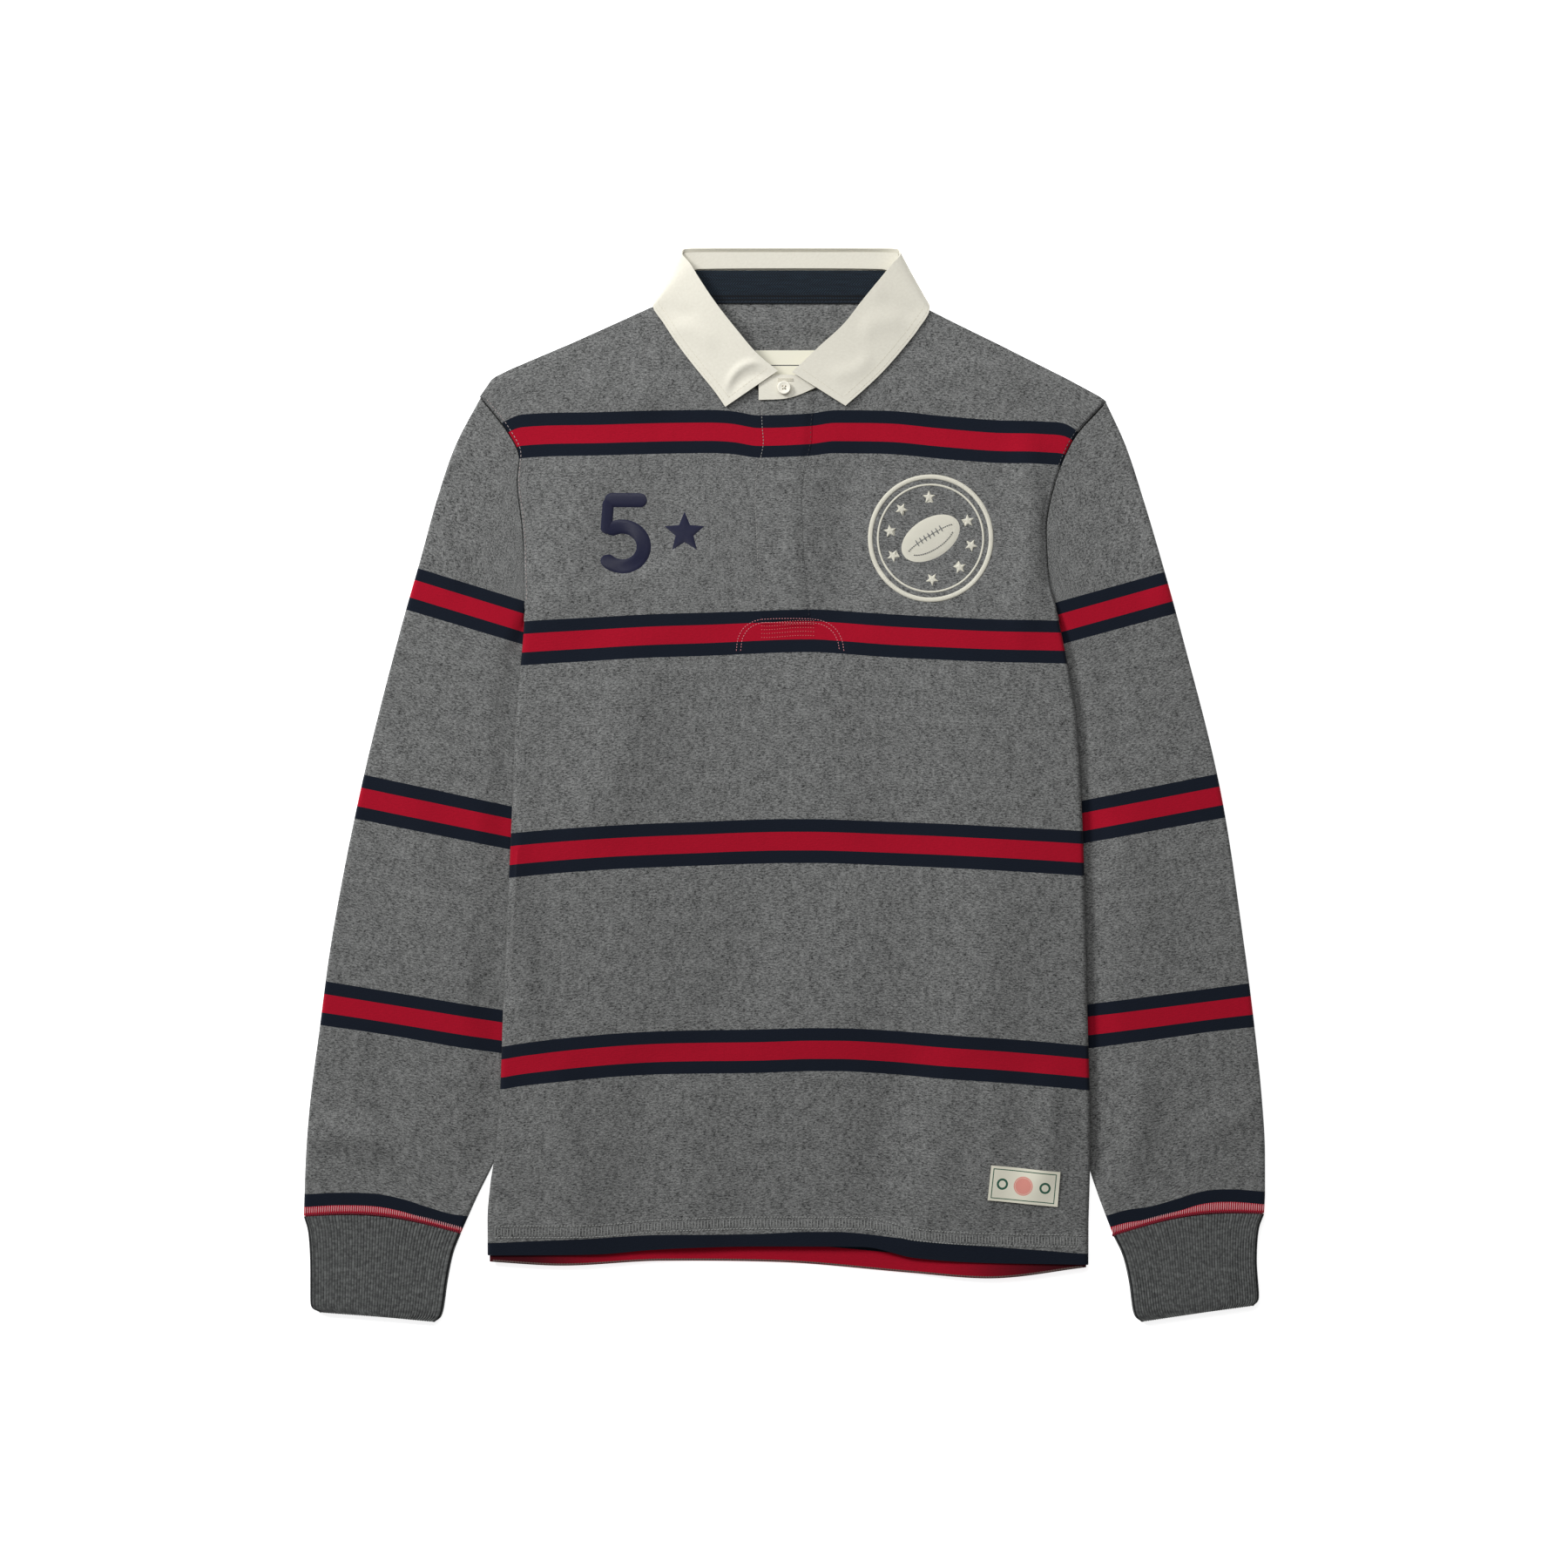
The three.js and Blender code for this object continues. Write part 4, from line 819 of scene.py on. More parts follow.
def cuff_rings(name):
    """Rings from seam to wrist: across the top, round the inner edge, back along the table and
    round the outer edge, with the grooves between ribs as a cosine cut down into the top."""
    n = np.linspace(0, 4, CUFF_ROWS)[:, None]
    row = {key: along(n, np.arange(5), values) for key, values in CUFFS[name].items()}
    top = CUFF_TOP - WRIST_DROP * smooth((n - WRIST_FROM) / WRIST_OVER)
    radius = (top - RIB / 2) / 2
    inset = RIB / 2 + radius
    length = np.hypot(row["inner_x"] - row["outer_x"], row["inner_y"] - row["outer_y"])
    flat = np.linspace(0, 1, CUFF_ACROSS)
    turn = np.radians(np.linspace(90, -90, CUFF_TURN + 2))[1:-1]
    over = np.concatenate([mix(inset, length - inset, flat), length - inset + radius * np.cos(turn),
                           mix(inset, length - inset, flat[::-1]), inset - radius * np.cos(turn)], 1)
    lift = np.concatenate([0 * flat + 1, np.sin(turn), 0 * flat - 1, np.sin(turn[::-1])])
    ribs = np.cos(np.linspace(0, 2 * np.pi * CUFF_RIBS, CUFF_ACROSS))
    ribs = np.concatenate([ribs, 0 * turn + 1, ribs, 0 * turn + 1])
    share = over / length
    bow = row["wave"] * SEAM_WAVE * np.sin(np.pi * np.clip(share, 0, 1))
    x = mix(row["outer_x"], row["inner_x"], share)
    y = mix(row["outer_y"], row["inner_y"], share) + bow - GAP - CUFF_SHORT
    z = RIB / 2 + radius + radius * lift + (ribs - 1) * RIB_DEPTH * (lift == 1)
    return np.stack([x, y, z], -1)


rib_knit, tree, shader = principled("rib_knit", Roughness=0.95, Specular_IOR_Level=0.12)
# The near-black groove colour is painted shade for the hollows between the ribs.
RIB_GROOVE_SHADE, RIB_DARK, RIB_PALE = srgb(31, 32, 33), srgb(76, 77, 77), srgb(110, 112, 111)
vector, across_rib, _ = cloth_map(tree)
fibre = node(tree, "Group", {"node_tree": marl}, Cloth=scaled(tree, vector, 1, 0.3))
rib_tone = blend(tree, s_curve(tree, fibre.outputs["Fleck"], 0.3, 0.75), RIB_DARK, RIB_PALE)
# Painted shade: between the ribs the colour falls to the groove colour, in step with the grooves cut into the
# top.
rib_groove_shade = maths(tree, "COSINE", maths(tree, "MULTIPLY", across_rib, np.pi))
rib_tone = blend(tree, maths(tree, "MULTIPLY_ADD", rib_groove_shade, 0.75, 0.42), RIB_GROOVE_SHADE, rib_tone)
finish(tree, shader, rib_tone, fibre.outputs["Height"], 0.4, 0.0004)

across = np.linspace(0, 2 * CUFF_RIBS, CUFF_ACROSS)
turn = np.linspace(0, 6, CUFF_TURN)
across = np.concatenate([across, 2 * CUFF_RIBS + turn, across[::-1], -turn])
for name in ("left", "right"):
    rings = cuff_rings(name)
    uv = np.stack([np.broadcast_to(across, rings.shape[:2]), rings[..., 1]], -1)
    cloth_piece("cuff_" + name, rings, RIB, uv, rib_knit, around=True)

# ---------------------------------------------------------------- collar
# A doubled cotton-twill collar: the stand is sewn round the neckline, and the fall
# turns over it from the roll line to its free edge. Both are off-white.
TWILL = 1.0
STAND_STOP, STAND_INSIDE = 3, 0.015      # the stand ends below the roll and inside it
STAND_UNDER, STAND_BACK = -1.9, 0.6      # its height from the roll, in front and at the back
DROP_FRONT = 2                     # the front is where the fall's drop is less than this
COLLAR = columns(
    "roll_x roll_y roll_z seam_x seam_y seam_z edge_x edge_y edge_z drop",
    # left front round the back to the right front
    (-4.5, 303, 12.5, -22.5, 289, 7.9, -43, 277, 8.2, 1),
    (-20, 316, 13.5, -27, 294, 7.9, -51, 288.6, 7.9, 1),
    (-35, 333.5, 14.5, -43, 311, 7.9, -64, 304.6, 7.8, 1),
    (-51, 354, 15, -60.5, 330.5, 7.8, -77, 321.5, 7.8, 1),
    (-62, 370.5, 14.5, -73, 345, 7.5, -88, 338, 7.8, 1),
    (-69, 382, 13, -79, 354.5, 6.8, -96, 350.7, 7.6, 1),
    (-74.5, 389.5, 9.5, -80.5, 363, 5.9, -95.8, 354.6, 2, 1.2),
    (-73, 393, 6.2, -75.5, 372, 5, -90.5, 350.5, 0.6, 3),
    (-58, 393.5, 5.4, -62, 378.4, 4.6, -62, 348, 0.6, 10),
    (4.5, 393.6, 5.4, 4.5, 378.9, 4.6, 4.5, 346.5, 0.6, 12),
    (67, 393.5, 5.4, 71, 378.4, 4.6, 72, 348, 0.6, 10),
    (83, 393, 6.2, 85, 371.5, 5, 100.5, 349.5, 0.6, 3),
    (85, 389, 9.5, 89.8, 361.5, 5.9, 106, 352.9, 2, 1.2),
    (79, 381, 13, 88, 352.5, 6.8, 106.4, 347.6, 7.6, 1),
    (70.5, 370.5, 14.5, 82, 343.5, 7.5, 99, 335, 7.8, 1),
    (57, 354, 15, 68, 328.5, 7.8, 87, 319.5, 7.8, 1),
    (43.5, 337, 14.5, 49, 309, 7.9, 73, 303.5, 7.8, 1),
    (26, 321, 13.5, 33, 297, 7.9, 60, 291, 7.9, 1),
    (5.8, 302, 12.5, 20.5, 290, 7.9, 45, 277.8, 8.2, 1),
)
# the lap end of the stand, past the right leaf: seam and upper edge
STAND_END = [((3, 283.4, 8.3), (-1, 300.5, 10)), ((-18.6, 282, 8.3), (-18.6, 300, 9.8))]
FALL_COLUMNS, STAND_COLUMNS, STATIONS = 34, 12, 260

roll, seam, edge = (np.stack([COLLAR[part + axis] for axis in ("_x", "_y", "_z")], -1)
                    for part in ("roll", "seam", "edge"))
round_neck = far_along(roll)
at = np.linspace(0, round_neck[-1], STATIONS)
fall_roll, fall_edge = along(at, round_neck, roll), along(at, round_neck, edge)
fall_drop = along(at, round_neck, COLLAR["drop"])[:, None]
fall_share = np.linspace(0, 1, FALL_COLUMNS) ** 1.5
t = fall_share[None, :]
fall_grid = fall_roll[:, None] + (fall_edge - fall_roll)[:, None] * t[..., None]
fall_grid[..., 2] = fall_edge[:, None, 2] + (fall_roll - fall_edge)[:, None, 2] * (1 - t) ** fall_drop
COLLAR_FOLDS = [                   # from, to, bow, width, height
    (-41, 294, -12, 309, 6, 3.0, 1.5),
    (-38, 288, -14, 301, 4, 4.0, -0.9),
    (-52, 322, -80, 336, -3, 7, 0.9),
    (-66, 344, -90, 352, 2, 6, -0.7),
    (36, 300, 62, 312, -3, 6, 0.8),
    (58, 332, 84, 340, 3, 8, 0.8),
    (72, 356, 100, 346, -2, 7, -0.7),
    (-10, 386, 60, 388, 1, 3, 0.4),
]
collar_creases = creased(fall_grid[..., 0], fall_grid[..., 1], COLLAR_FOLDS)
fall_grid[..., 2] += collar_creases * smooth(t * 4) * (fall_drop < DROP_FRONT)


def girth_down(grid):
    """Distance along each column from its first point."""
    return girth(grid.transpose(1, 0, 2)).T


def collar_uv(grid):
    """Millimetres round the neck and from one edge of the cloth to the other."""
    return np.stack([girth_down(grid), girth(grid)], -1)


twill, tree, shader = principled("twill", Roughness=0.85, Specular_IOR_Level=0.2, Sheen_Weight=0.08)
TWILL_PALE, TWILL_SHADE = srgb(234, 231, 218), srgb(222, 218, 204)
TWILL_TURN = 7.0                   # radians of the diagonal for each millimetre
vector, u, v = cloth_map(tree)
diagonal = maths(tree, "SINE", maths(tree, "MULTIPLY", maths(tree, "ADD", u, v), TWILL_TURN))
uneven = noise(tree, vector, 0.5, 4.0)
finish(tree, shader, blend(tree, uneven, TWILL_PALE, TWILL_SHADE),
       maths(tree, "MULTIPLY_ADD", diagonal, 0.3, uneven), 0.25, 0.0002)
cloth_piece("collar_fall", fall_grid, TWILL, collar_uv(fall_grid), twill)

reach = np.linalg.norm(roll - seam, axis=1)[:, None]
stand_top = mix(roll, seam, STAND_STOP / reach)
stand_top[:, 0] = mix(stand_top[:, 0], NECK_MIDDLE, STAND_INSIDE)
stand_top[:, 2] = roll[:, 2] + np.where(COLLAR["drop"] > DROP_FRONT, STAND_BACK, STAND_UNDER)
stand_seam = np.concatenate([seam[1:], [end[0] for end in STAND_END]])
stand_top = np.concatenate([stand_top[1:], [end[1] for end in STAND_END]])
round_seam = far_along(stand_seam)
at = np.linspace(0, round_seam[-1], STATIONS)
share = np.linspace(0, 1, STAND_COLUMNS)[None, :, None]
stand_grid = mix(along(at, round_seam, stand_seam)[:, None], along(at, round_seam, stand_top)[:, None], share)
cloth_piece("collar_stand", stand_grid, TWILL, collar_uv(stand_grid), twill)

# ---------------------------------------------------------------- neck tape and labels
# Woven tape over the back neck seam, a plain woven label below it and a woven label
# on the front hem, each stitched down flat on its panel.
TAPE, TAPE_HIGH = 0.8, 24.4
CHEVRON_RUN, CHEVRON_TURN = 3.4, 3.2     # height of a zigzag, and radians for each millimetre
SELVEDGE, SELVEDGE_TURN = 7.2, 2.3       # the plain lower edge's height, and its ridges' radians
TAPE_GROOVE, TAPE_DARK = srgb(5, 11, 19), srgb(20, 31, 42)
TAPE_PALE, TAPE_EDGE = srgb(32, 47, 60), srgb(6, 8, 13)


def laid_strip(corners, across, down, kind):
    """A flat strip on a panel between four corners, upper left first and clockwise."""
    a, b, c, d = np.array(corners, float)
    u, v = np.linspace(0, 1, across)[None, :, None], np.linspace(0, 1, down)[:, None, None]
    plan = mix(mix(a, b, u), mix(d, c, u), v)
    z = panel_at(plan[..., 0], plan[..., 1], kind) + CLOTH / 2 + GAP + TAPE / 2
    return np.concatenate([plan, z[..., None]], -1)


def strip_uv(grid):
    """Millimetres across a strip and, negative, down it."""
    return np.stack([girth(grid), -girth_down(grid)], -1)


herringbone, tree, shader = principled("herringbone_tape", Roughness=0.8, Specular_IOR_Level=0.25)
vector, u, v = cloth_map(tree)
zigzag = maths(tree, "PINGPONG", v, CHEVRON_RUN)
chevron = maths(tree, "SINE", maths(tree, "MULTIPLY", maths(tree, "ADD", u, zigzag), CHEVRON_TURN))
streak = noise(tree, scaled(tree, vector, 0.07, 0.9), 1.0, 3.0, "3D")
streak = node(tree, "MapRange", Value=streak, From_Min=0.35, From_Max=0.65)
woven = blend(tree, maths(tree, "MULTIPLY_ADD", chevron, 0.5, 0.5), TAPE_GROOVE,
              blend(tree, streak.outputs[0], TAPE_DARK, TAPE_PALE))
from_edge = maths(tree, "ADD", v, TAPE_HIGH)
ridges = maths(tree, "COSINE", maths(tree, "MULTIPLY", from_edge, SELVEDGE_TURN))
ridges = maths(tree, "MULTIPLY", maths(tree, "MULTIPLY_ADD", ridges, 0.5, 0.5),
               maths(tree, "LESS_THAN", from_edge, SELVEDGE))
finish(tree, shader, blend(tree, ridges, woven, TAPE_EDGE), chevron, 0.3, 0.0003)
tape_grid = laid_strip([(-66, 377.4), (74, 377.4), (74, 353), (-66, 353)], 90, 16, "back")
cloth_piece("neck_tape", tape_grid, TAPE, strip_uv(tape_grid), herringbone)

# The neck label is bare cream satin with one thin navy line.
LABEL_CREAM, LABEL_NAVY = srgb(232, 229, 211), srgb(40, 40, 48)
LINE_DOWN, LINE_HALF = 11.0, 0.35
neck_satin, tree, shader = principled("neck_satin", Roughness=0.6, Specular_IOR_Level=0.3)
_, _, v = cloth_map(tree)
thin_line = maths(tree, "LESS_THAN", maths(tree, "ABSOLUTE", maths(tree, "ADD", v, LINE_DOWN)), LINE_HALF)
finish(tree, shader, blend(tree, thin_line, LABEL_CREAM, LABEL_NAVY))
neck_grid = laid_strip([(-21, 319), (33, 319), (33, 297), (-21, 297)], 30, 14, "back")
cloth_piece("neck_label", neck_grid, TAPE, strip_uv(neck_grid), neck_satin)

# The hem label is woven cream with a green border, a pink disc in a ring and two green rings.
LABEL_WIDE, LABEL_HIGH = 50.7, 25.8
BORDER_IN, BORDER_HALF = 2.2, 0.35
LABEL_GREEN, LABEL_PINK = srgb(52, 96, 78), srgb(226, 150, 138)
RINGS = [(25, 3.0, 6.0, LABEL_PINK), (25, 6.6, 0.8, LABEL_PINK),     # across, radius, width, colour
         (9.5, 3.4, 1.6, LABEL_GREEN), (41, 3.4, 1.6, LABEL_GREEN)]


def to_edge(tree, from_middle, size):
    """Distance inwards from the nearer edge: half the size less the distance from the middle."""
    return maths(tree, "SUBTRACT", size / 2, maths(tree, "ABSOLUTE", from_middle))


def in_ring(tree, x, y, centre, radius, width):
    """1 inside a ring round a centre on the label: where the distance is within half the
    ring's width of its radius."""
    dx, dy = maths(tree, "SUBTRACT", x, centre[0]), maths(tree, "SUBTRACT", y, centre[1])
    squares = maths(tree, "ADD", maths(tree, "MULTIPLY", dx, dx), maths(tree, "MULTIPLY", dy, dy))
    far = maths(tree, "SQRT", squares)
    return maths(tree, "LESS_THAN", maths(tree, "ABSOLUTE", maths(tree, "SUBTRACT", far, radius)), width / 2)


hem_satin, tree, shader = principled("hem_satin", Roughness=0.7, Specular_IOR_Level=0.25)
vector, u, v = cloth_map(tree)
nearest = maths(tree, "MINIMUM", to_edge(tree, maths(tree, "SUBTRACT", u, LABEL_WIDE / 2), LABEL_WIDE),
                to_edge(tree, maths(tree, "ADD", v, LABEL_HIGH / 2), LABEL_HIGH))
border = maths(tree, "COMPARE", nearest, BORDER_IN, BORDER_HALF)
tone = blend(tree, border, LABEL_CREAM, LABEL_GREEN)
for ring_x, radius, width, colour in RINGS:
    tone = blend(tree, in_ring(tree, u, v, (ring_x, -LABEL_HIGH / 2), radius, width), tone, colour)
weave = node(tree, "TexWave", {"bands_direction": "Y"}, Vector=vector, Scale=0.6, Distortion=1.0)
finish(tree, shader, tone, weave.outputs["Fac"], 0.2, 0.0002)
hem_grid = laid_strip([(151.7, -278.4), (202.2, -283.5), (200.3, -309.1), (149.1, -304)], 40, 20, "front")
cloth_piece("hem_label", hem_grid, TAPE, strip_uv(hem_grid), hem_satin)

# ---------------------------------------------------------------- button
# A cream resin button with a raised rim and four holes, sewn to the stand with a
# cross of thread, and the buttonhole beside it worked in the same cream.
BUTTON_RADIUS, BUTTON_HEIGHT, BUTTON_Z = 4.9, 2.2, 10.2
BUTTON_X, BUTTON_Y = 0, 290.8
BUTTON_SIDES = 64
HOLE_RADIUS, HOLE_OUT = 0.55, 1.25
FACE_DOWN = 0.36                   # the dished face lies this far below the rim
BUTTONHOLE_Y, BUTTONHOLE_X = 296.8, (-4.5, 6.5)
LIP_NEAR, LIP_FAR, LIP_STITCHES = 0.15, 1.1, 24

# Outline of the turned section from the back's middle to the dished front: radius, height.
section = np.array([(BUTTON_RADIUS - 0.6, 0), (BUTTON_RADIUS, 0.7), (BUTTON_RADIUS, BUTTON_HEIGHT - 0.5),
                    (BUTTON_RADIUS - 0.2, BUTTON_HEIGHT - 0.1), (BUTTON_RADIUS - 0.6, BUTTON_HEIGHT),
                    (BUTTON_RADIUS - 1.3, BUTTON_HEIGHT - 0.1), (BUTTON_RADIUS - 1.9, BUTTON_HEIGHT - 0.35),
                    (0.05, BUTTON_HEIGHT - 0.4)])
angle = np.linspace(0, 2 * np.pi, BUTTON_SIDES, endpoint=False)
ring = np.stack([section[:, None, 0] * np.cos(angle), section[:, None, 0] * np.sin(angle),
                 np.broadcast_to(section[:, None, 1], (len(section), BUTTON_SIDES))], -1)
ids = np.arange(ring.size // 3).reshape(len(section), BUTTON_SIDES)
after = np.roll(ids, -1, axis=1)
disc_faces = np.stack([ids[:-1], after[:-1], after[1:], ids[1:]], -1).reshape(-1, 4)
half = BUTTON_SIDES // 2
fan = np.arange(half - 1)
closing = [np.stack([row[fan], row[fan + 1], row[-fan - 2], row[-fan - 1]], -1)
           for row in (ids[0][::-1], ids[-1])]
button_points = ring.reshape(-1, 3) + [BUTTON_X, BUTTON_Y, BUTTON_Z]
resin = principled("button_resin", Base_Color=srgb(240, 236, 222), Roughness=0.35, Coat_Weight=0.2)[0]
button = mesh_object("button_disc", button_points, np.concatenate([disc_faces, *closing]), material=resin)
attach(button, "root")
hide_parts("button")


def spindles(start, end, radius, up=(0, 0, 1), arch=0.0):
    """Small six-sided stitches from start to end points, thinner at their ends, each bent up
    by arch in its middle. Returns joined points and quads."""
    start, end = np.asarray(start, float).reshape(-1, 3), np.asarray(end, float).reshape(-1, 3)
    run = end - start
    side = np.cross(run, np.broadcast_to(up, run.shape))
    side /= np.linalg.norm(side, axis=1, keepdims=True)
    lift = np.cross(side, run)
    lift /= np.linalg.norm(lift, axis=1, keepdims=True)
    t = np.array([0, 0.2, 0.5, 0.8, 1])
    thick = np.array([0.35, 0.9, 1, 0.9, 0.35]) * radius
    bend = np.array([0, 0.7, 1, 0.7, 0]) * arch
    turn = np.radians(np.arange(6) * 60)
    base = start[:, None] + run[:, None] * t[:, None] + lift[:, None] * bend[:, None]
    points = (base[:, :, None] + side[:, None, None] * (thick[:, None] * np.cos(turn))[..., None]
              + lift[:, None, None] * (thick[:, None] * np.sin(turn))[..., None])
    one = np.arange(30).reshape(5, 6)
    nxt = np.roll(one, -1, axis=1)
    ends = [one[0, [0, 1, 2, 3]], one[0, [0, 3, 4, 5]], one[4, [3, 2, 1, 0]], one[4, [5, 4, 3, 0]]]
    quads = np.concatenate([np.stack([one[:-1], one[1:], nxt[1:], nxt[:-1]], -1).reshape(-1, 4), ends])
    faces = quads[None] + 30 * np.arange(len(start))[:, None, None]
    return points.reshape(-1, 3), faces.reshape(-1, 4)


def joined(parts):
    """Several (points, quads) pairs as one."""
    counts = np.cumsum([0] + [len(points) for points, _ in parts[:-1]])
    faces = [quads + count for (_, quads), count in zip(parts, counts)]
    return np.concatenate([points for points, _ in parts]), np.concatenate(faces)


def thread(name, colour, roughness=0.7):
    """Spun thread, or the painted shade in the button's holes: one colour with a little sheen."""
    return principled(name, Base_Color=srgb(*colour), Roughness=roughness, Specular_IOR_Level=0.25)[0]


def sewn_piece(name, parts, material, uv=None):
    """Joined stitches or embroidery that ride on the shirt, or the painted shade in the button's holes."""
    made = mesh_object(name, *joined(parts), uv, material)
    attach(made, "root")


cream_thread = thread("cream_thread", (236, 232, 218))
painted_hole_shade = thread("hole_shadow", (148, 138, 118))
face_z = BUTTON_Z + BUTTON_HEIGHT - FACE_DOWN
corners = np.array([(-1, -1), (1, -1), (1, 1), (-1, 1)]) * HOLE_OUT * 0.8 + [BUTTON_X, BUTTON_Y]
holes = np.concatenate([corners, np.full((4, 1), face_z)], 1)
# The holes are not cut: a dark spindle in each is painted shade standing for the shadow down the hole.
sewn_piece("button_holes", [spindles(holes - [HOLE_RADIUS, 0, 0], holes + [HOLE_RADIUS, 0, 0], HOLE_RADIUS)],
           painted_hole_shade)
on_face = holes + [0, 0, 0.1]
sewn_piece("button_thread", [spindles(on_face[[0, 1]], on_face[[2, 3]], 0.3, arch=0.5)], cream_thread)

# Buttonhole: a short slot across the stand's end, its two lips overcast in cream.
lip = np.linspace(*BUTTONHOLE_X, LIP_STITCHES)
at_lip = np.hypot(stand_grid[..., 0] - lip[:, None, None], stand_grid[..., 1] - BUTTONHOLE_Y) < 1.6
lip_z = np.where(at_lip, stand_grid[..., 2], 0).max(axis=(1, 2)) + TWILL / 2 + 0.05
lips = [spindles(*(np.stack([lip, np.full_like(lip, BUTTONHOLE_Y + side * out), lip_z], -1)
                   for out in (LIP_NEAR, LIP_FAR)), 0.24) for side in (-1, 1)]
sewn_piece("buttonhole", lips, thread("buttonhole_thread", (220, 216, 202)))

# ---------------------------------------------------------------- stitching
# Lock and cover stitches in grey, white, red and cream thread, lying on the cloth
# along its seams. Each row is spaced along a line and joined into one mesh.
STITCHES = {                       # pitch, length, radius
    "cover": (2.3, 1.5, 0.4),
    "back hem": (2.0, 2.2, 0.7),
    "armhole": (3.0, 1.8, 0.27),
    "shoulder": (3.0, 2.2, 0.22),
    "lap": (2.4, 1.5, 0.26),
    "sewn edge": (3.2, 1.6, 0.17),
    "patch": (2.1, 1.2, 0.27),
    "bar": (1.9, 0.9, 0.3),
    "cuff seam": (1.5, 1.6, 1.1),
    "collar": (2.6, 1.9, 0.17),
    "tape": (2.8, 2.0, 0.22),
    "ball": (1.6, 1.3, 0.42),
}


def spaced(line, pitch, length):
    """Start and end points of stitches of one length, one for each pitch along a line."""
    far = far_along(line)
    first = np.arange(0.3, far[-1] - length, pitch)
    return [np.stack([np.interp(s, far, line[:, k]) for k in range(3)], -1) for s in (first, first + length)]


def on_panel(x, y, kind="front", extra=0.0):
    """A line of points on the upper face of a panel."""
    x, y = np.broadcast_arrays(np.asarray(x, float), np.asarray(y, float))
    return np.stack([x, y, panel_at(x, y, kind) + CLOTH / 2 + extra], -1)


def row_of(line, kind):
    """A row of one kind of stitch along a line, as one mesh part."""
    pitch, length, radius = STITCHES[kind]
    return spindles(*spaced(line, pitch, length), radius)


# The darker grey thread is painted shade: it is used only for the right armhole's stitches, on the side
# turned from the light.
grey_thread, dark_thread = thread("grey_thread", (140, 141, 140)), thread("dark_thread", (92, 92, 94))
red_thread, pink_thread = thread("red_thread", (112, 22, 38)), thread("pink_thread", (216, 152, 156))

# Hem: a cover stitch eight millimetres high, two needle rows with loops between them.
HEM_LOW, HEM_HIGH = 13.0, 21.5     # of the needle rows, up from the hem's edge
LOOP_FROM, LOOP_TO, LOOP_RADIUS = 0.12, 0.86, 0.34    # shares of the way between the rows
hem_x = np.linspace(-212, 218, 300)
hem_edge = along(hem_x, *np.array(PANELS["front"]["hem"]).T)
low, high = (on_panel(hem_x, hem_edge + up, extra=0.12) for up in (HEM_LOW, HEM_HIGH))
low_starts, high_starts = (spaced(needle_row, *STITCHES["cover"][:2])[0] for needle_row in (low, high))
count = min(len(low_starts), len(high_starts))
loop_ends = (mix(low_starts[:count], high_starts[:count], share) for share in (LOOP_FROM, LOOP_TO))
sewn_piece("hem_stitches", [row_of(low, "cover"), row_of(high, "cover"), spindles(*loop_ends, LOOP_RADIUS)],
           thread("hem_thread", (148, 149, 147)))

back_x = np.linspace(-214, 220, 300)
back_edge = along(back_x, *np.array(PANELS["back"]["hem"]).T)
back_line = on_panel(back_x, back_edge + 1.0, "back", 0.1)
sewn_piece("back_hem_stitches", [row_of(back_line, "back hem")], thread("rim_thread", (92, 76, 72)))

# Armholes and shoulders: one row just inside the seam on the body.
ARMHOLE_IN, SHOULDER_IN, SHOULDER_ENDS = 1.7, 4.2, (6, 3)    # the ends stop short at tip and neck
seam_rows = []
# Painted shade: the right armhole's row is a dark grey where the left's is pale, as the right side lies away
# from the light.
armhole_threads = {"left": thread("armhole_thread", (172, 160, 158)), "right": dark_thread}
for name, side in (("left", 1), ("right", -1)):
    v = np.linspace(0.76, 0.995, 160)[:, None]
    row = panel_frame(v)
    inset = ARMHOLE_IN / (row["right_x"] - row["left_x"])
    x, y = panel_plan(row, inset if side > 0 else 1 - inset, v, "front")
    height = row["front_top"] + CLOTH / 2 + 0.05
    sewn_piece("armhole_stitches_" + name, [row_of(np.concatenate([x, y, height], 1), "armhole")],
               armhole_threads[name])
    shoulder = np.array(SHOULDER_LEFT if side > 0 else SHOULDER_RIGHT)
    first, last = SHOULDER_ENDS[::side]
    x = np.linspace(shoulder[0, 0] + first, shoulder[-1, 0] - last, 120)
    y = np.interp(x, *shoulder.T) - SHOULDER_IN
    z = panel_at(x, y) + CLOTH / 2
    rolled = 1 - np.sin(np.pi / 2 * SHOULDER_IN * 0.9 / SHOULDER_ROLL)
    z = z + (SHOULDER_SEAM["front"] + CLOTH / 2 - z) * rolled + 0.1
    seam_rows.append(row_of(np.stack([x, y, z], -1), "shoulder"))
sewn_piece("body_stitches", seam_rows, grey_thread)

# Placket: a row inside the lap's free edge and one down the sewn edge.
FREE_IN, SEWN_IN, FREE_FROM = 0.6, 0.8, 3     # the free row starts this many points up
lap_top = lap_grid[..., 2] + lap_wall / 2
free_row = np.stack([lap_x[:, 0] + FREE_IN, lap_y[:, 0], lap_top[:, 2] + 0.05], -1)[FREE_FROM:]
sewn_row = np.stack([lap_x[:, -1] - SEWN_IN, lap_y[:, -1], lap_top[:, -1] + 0.15], -1)
sewn_piece("placket_stitches", [row_of(free_row, "lap")], thread("lap_thread", (150, 149, 147)))
sewn_piece("sewn_edge_stitches", [row_of(sewn_row, "sewn edge")], thread("seam_thread", (64, 64, 67)))

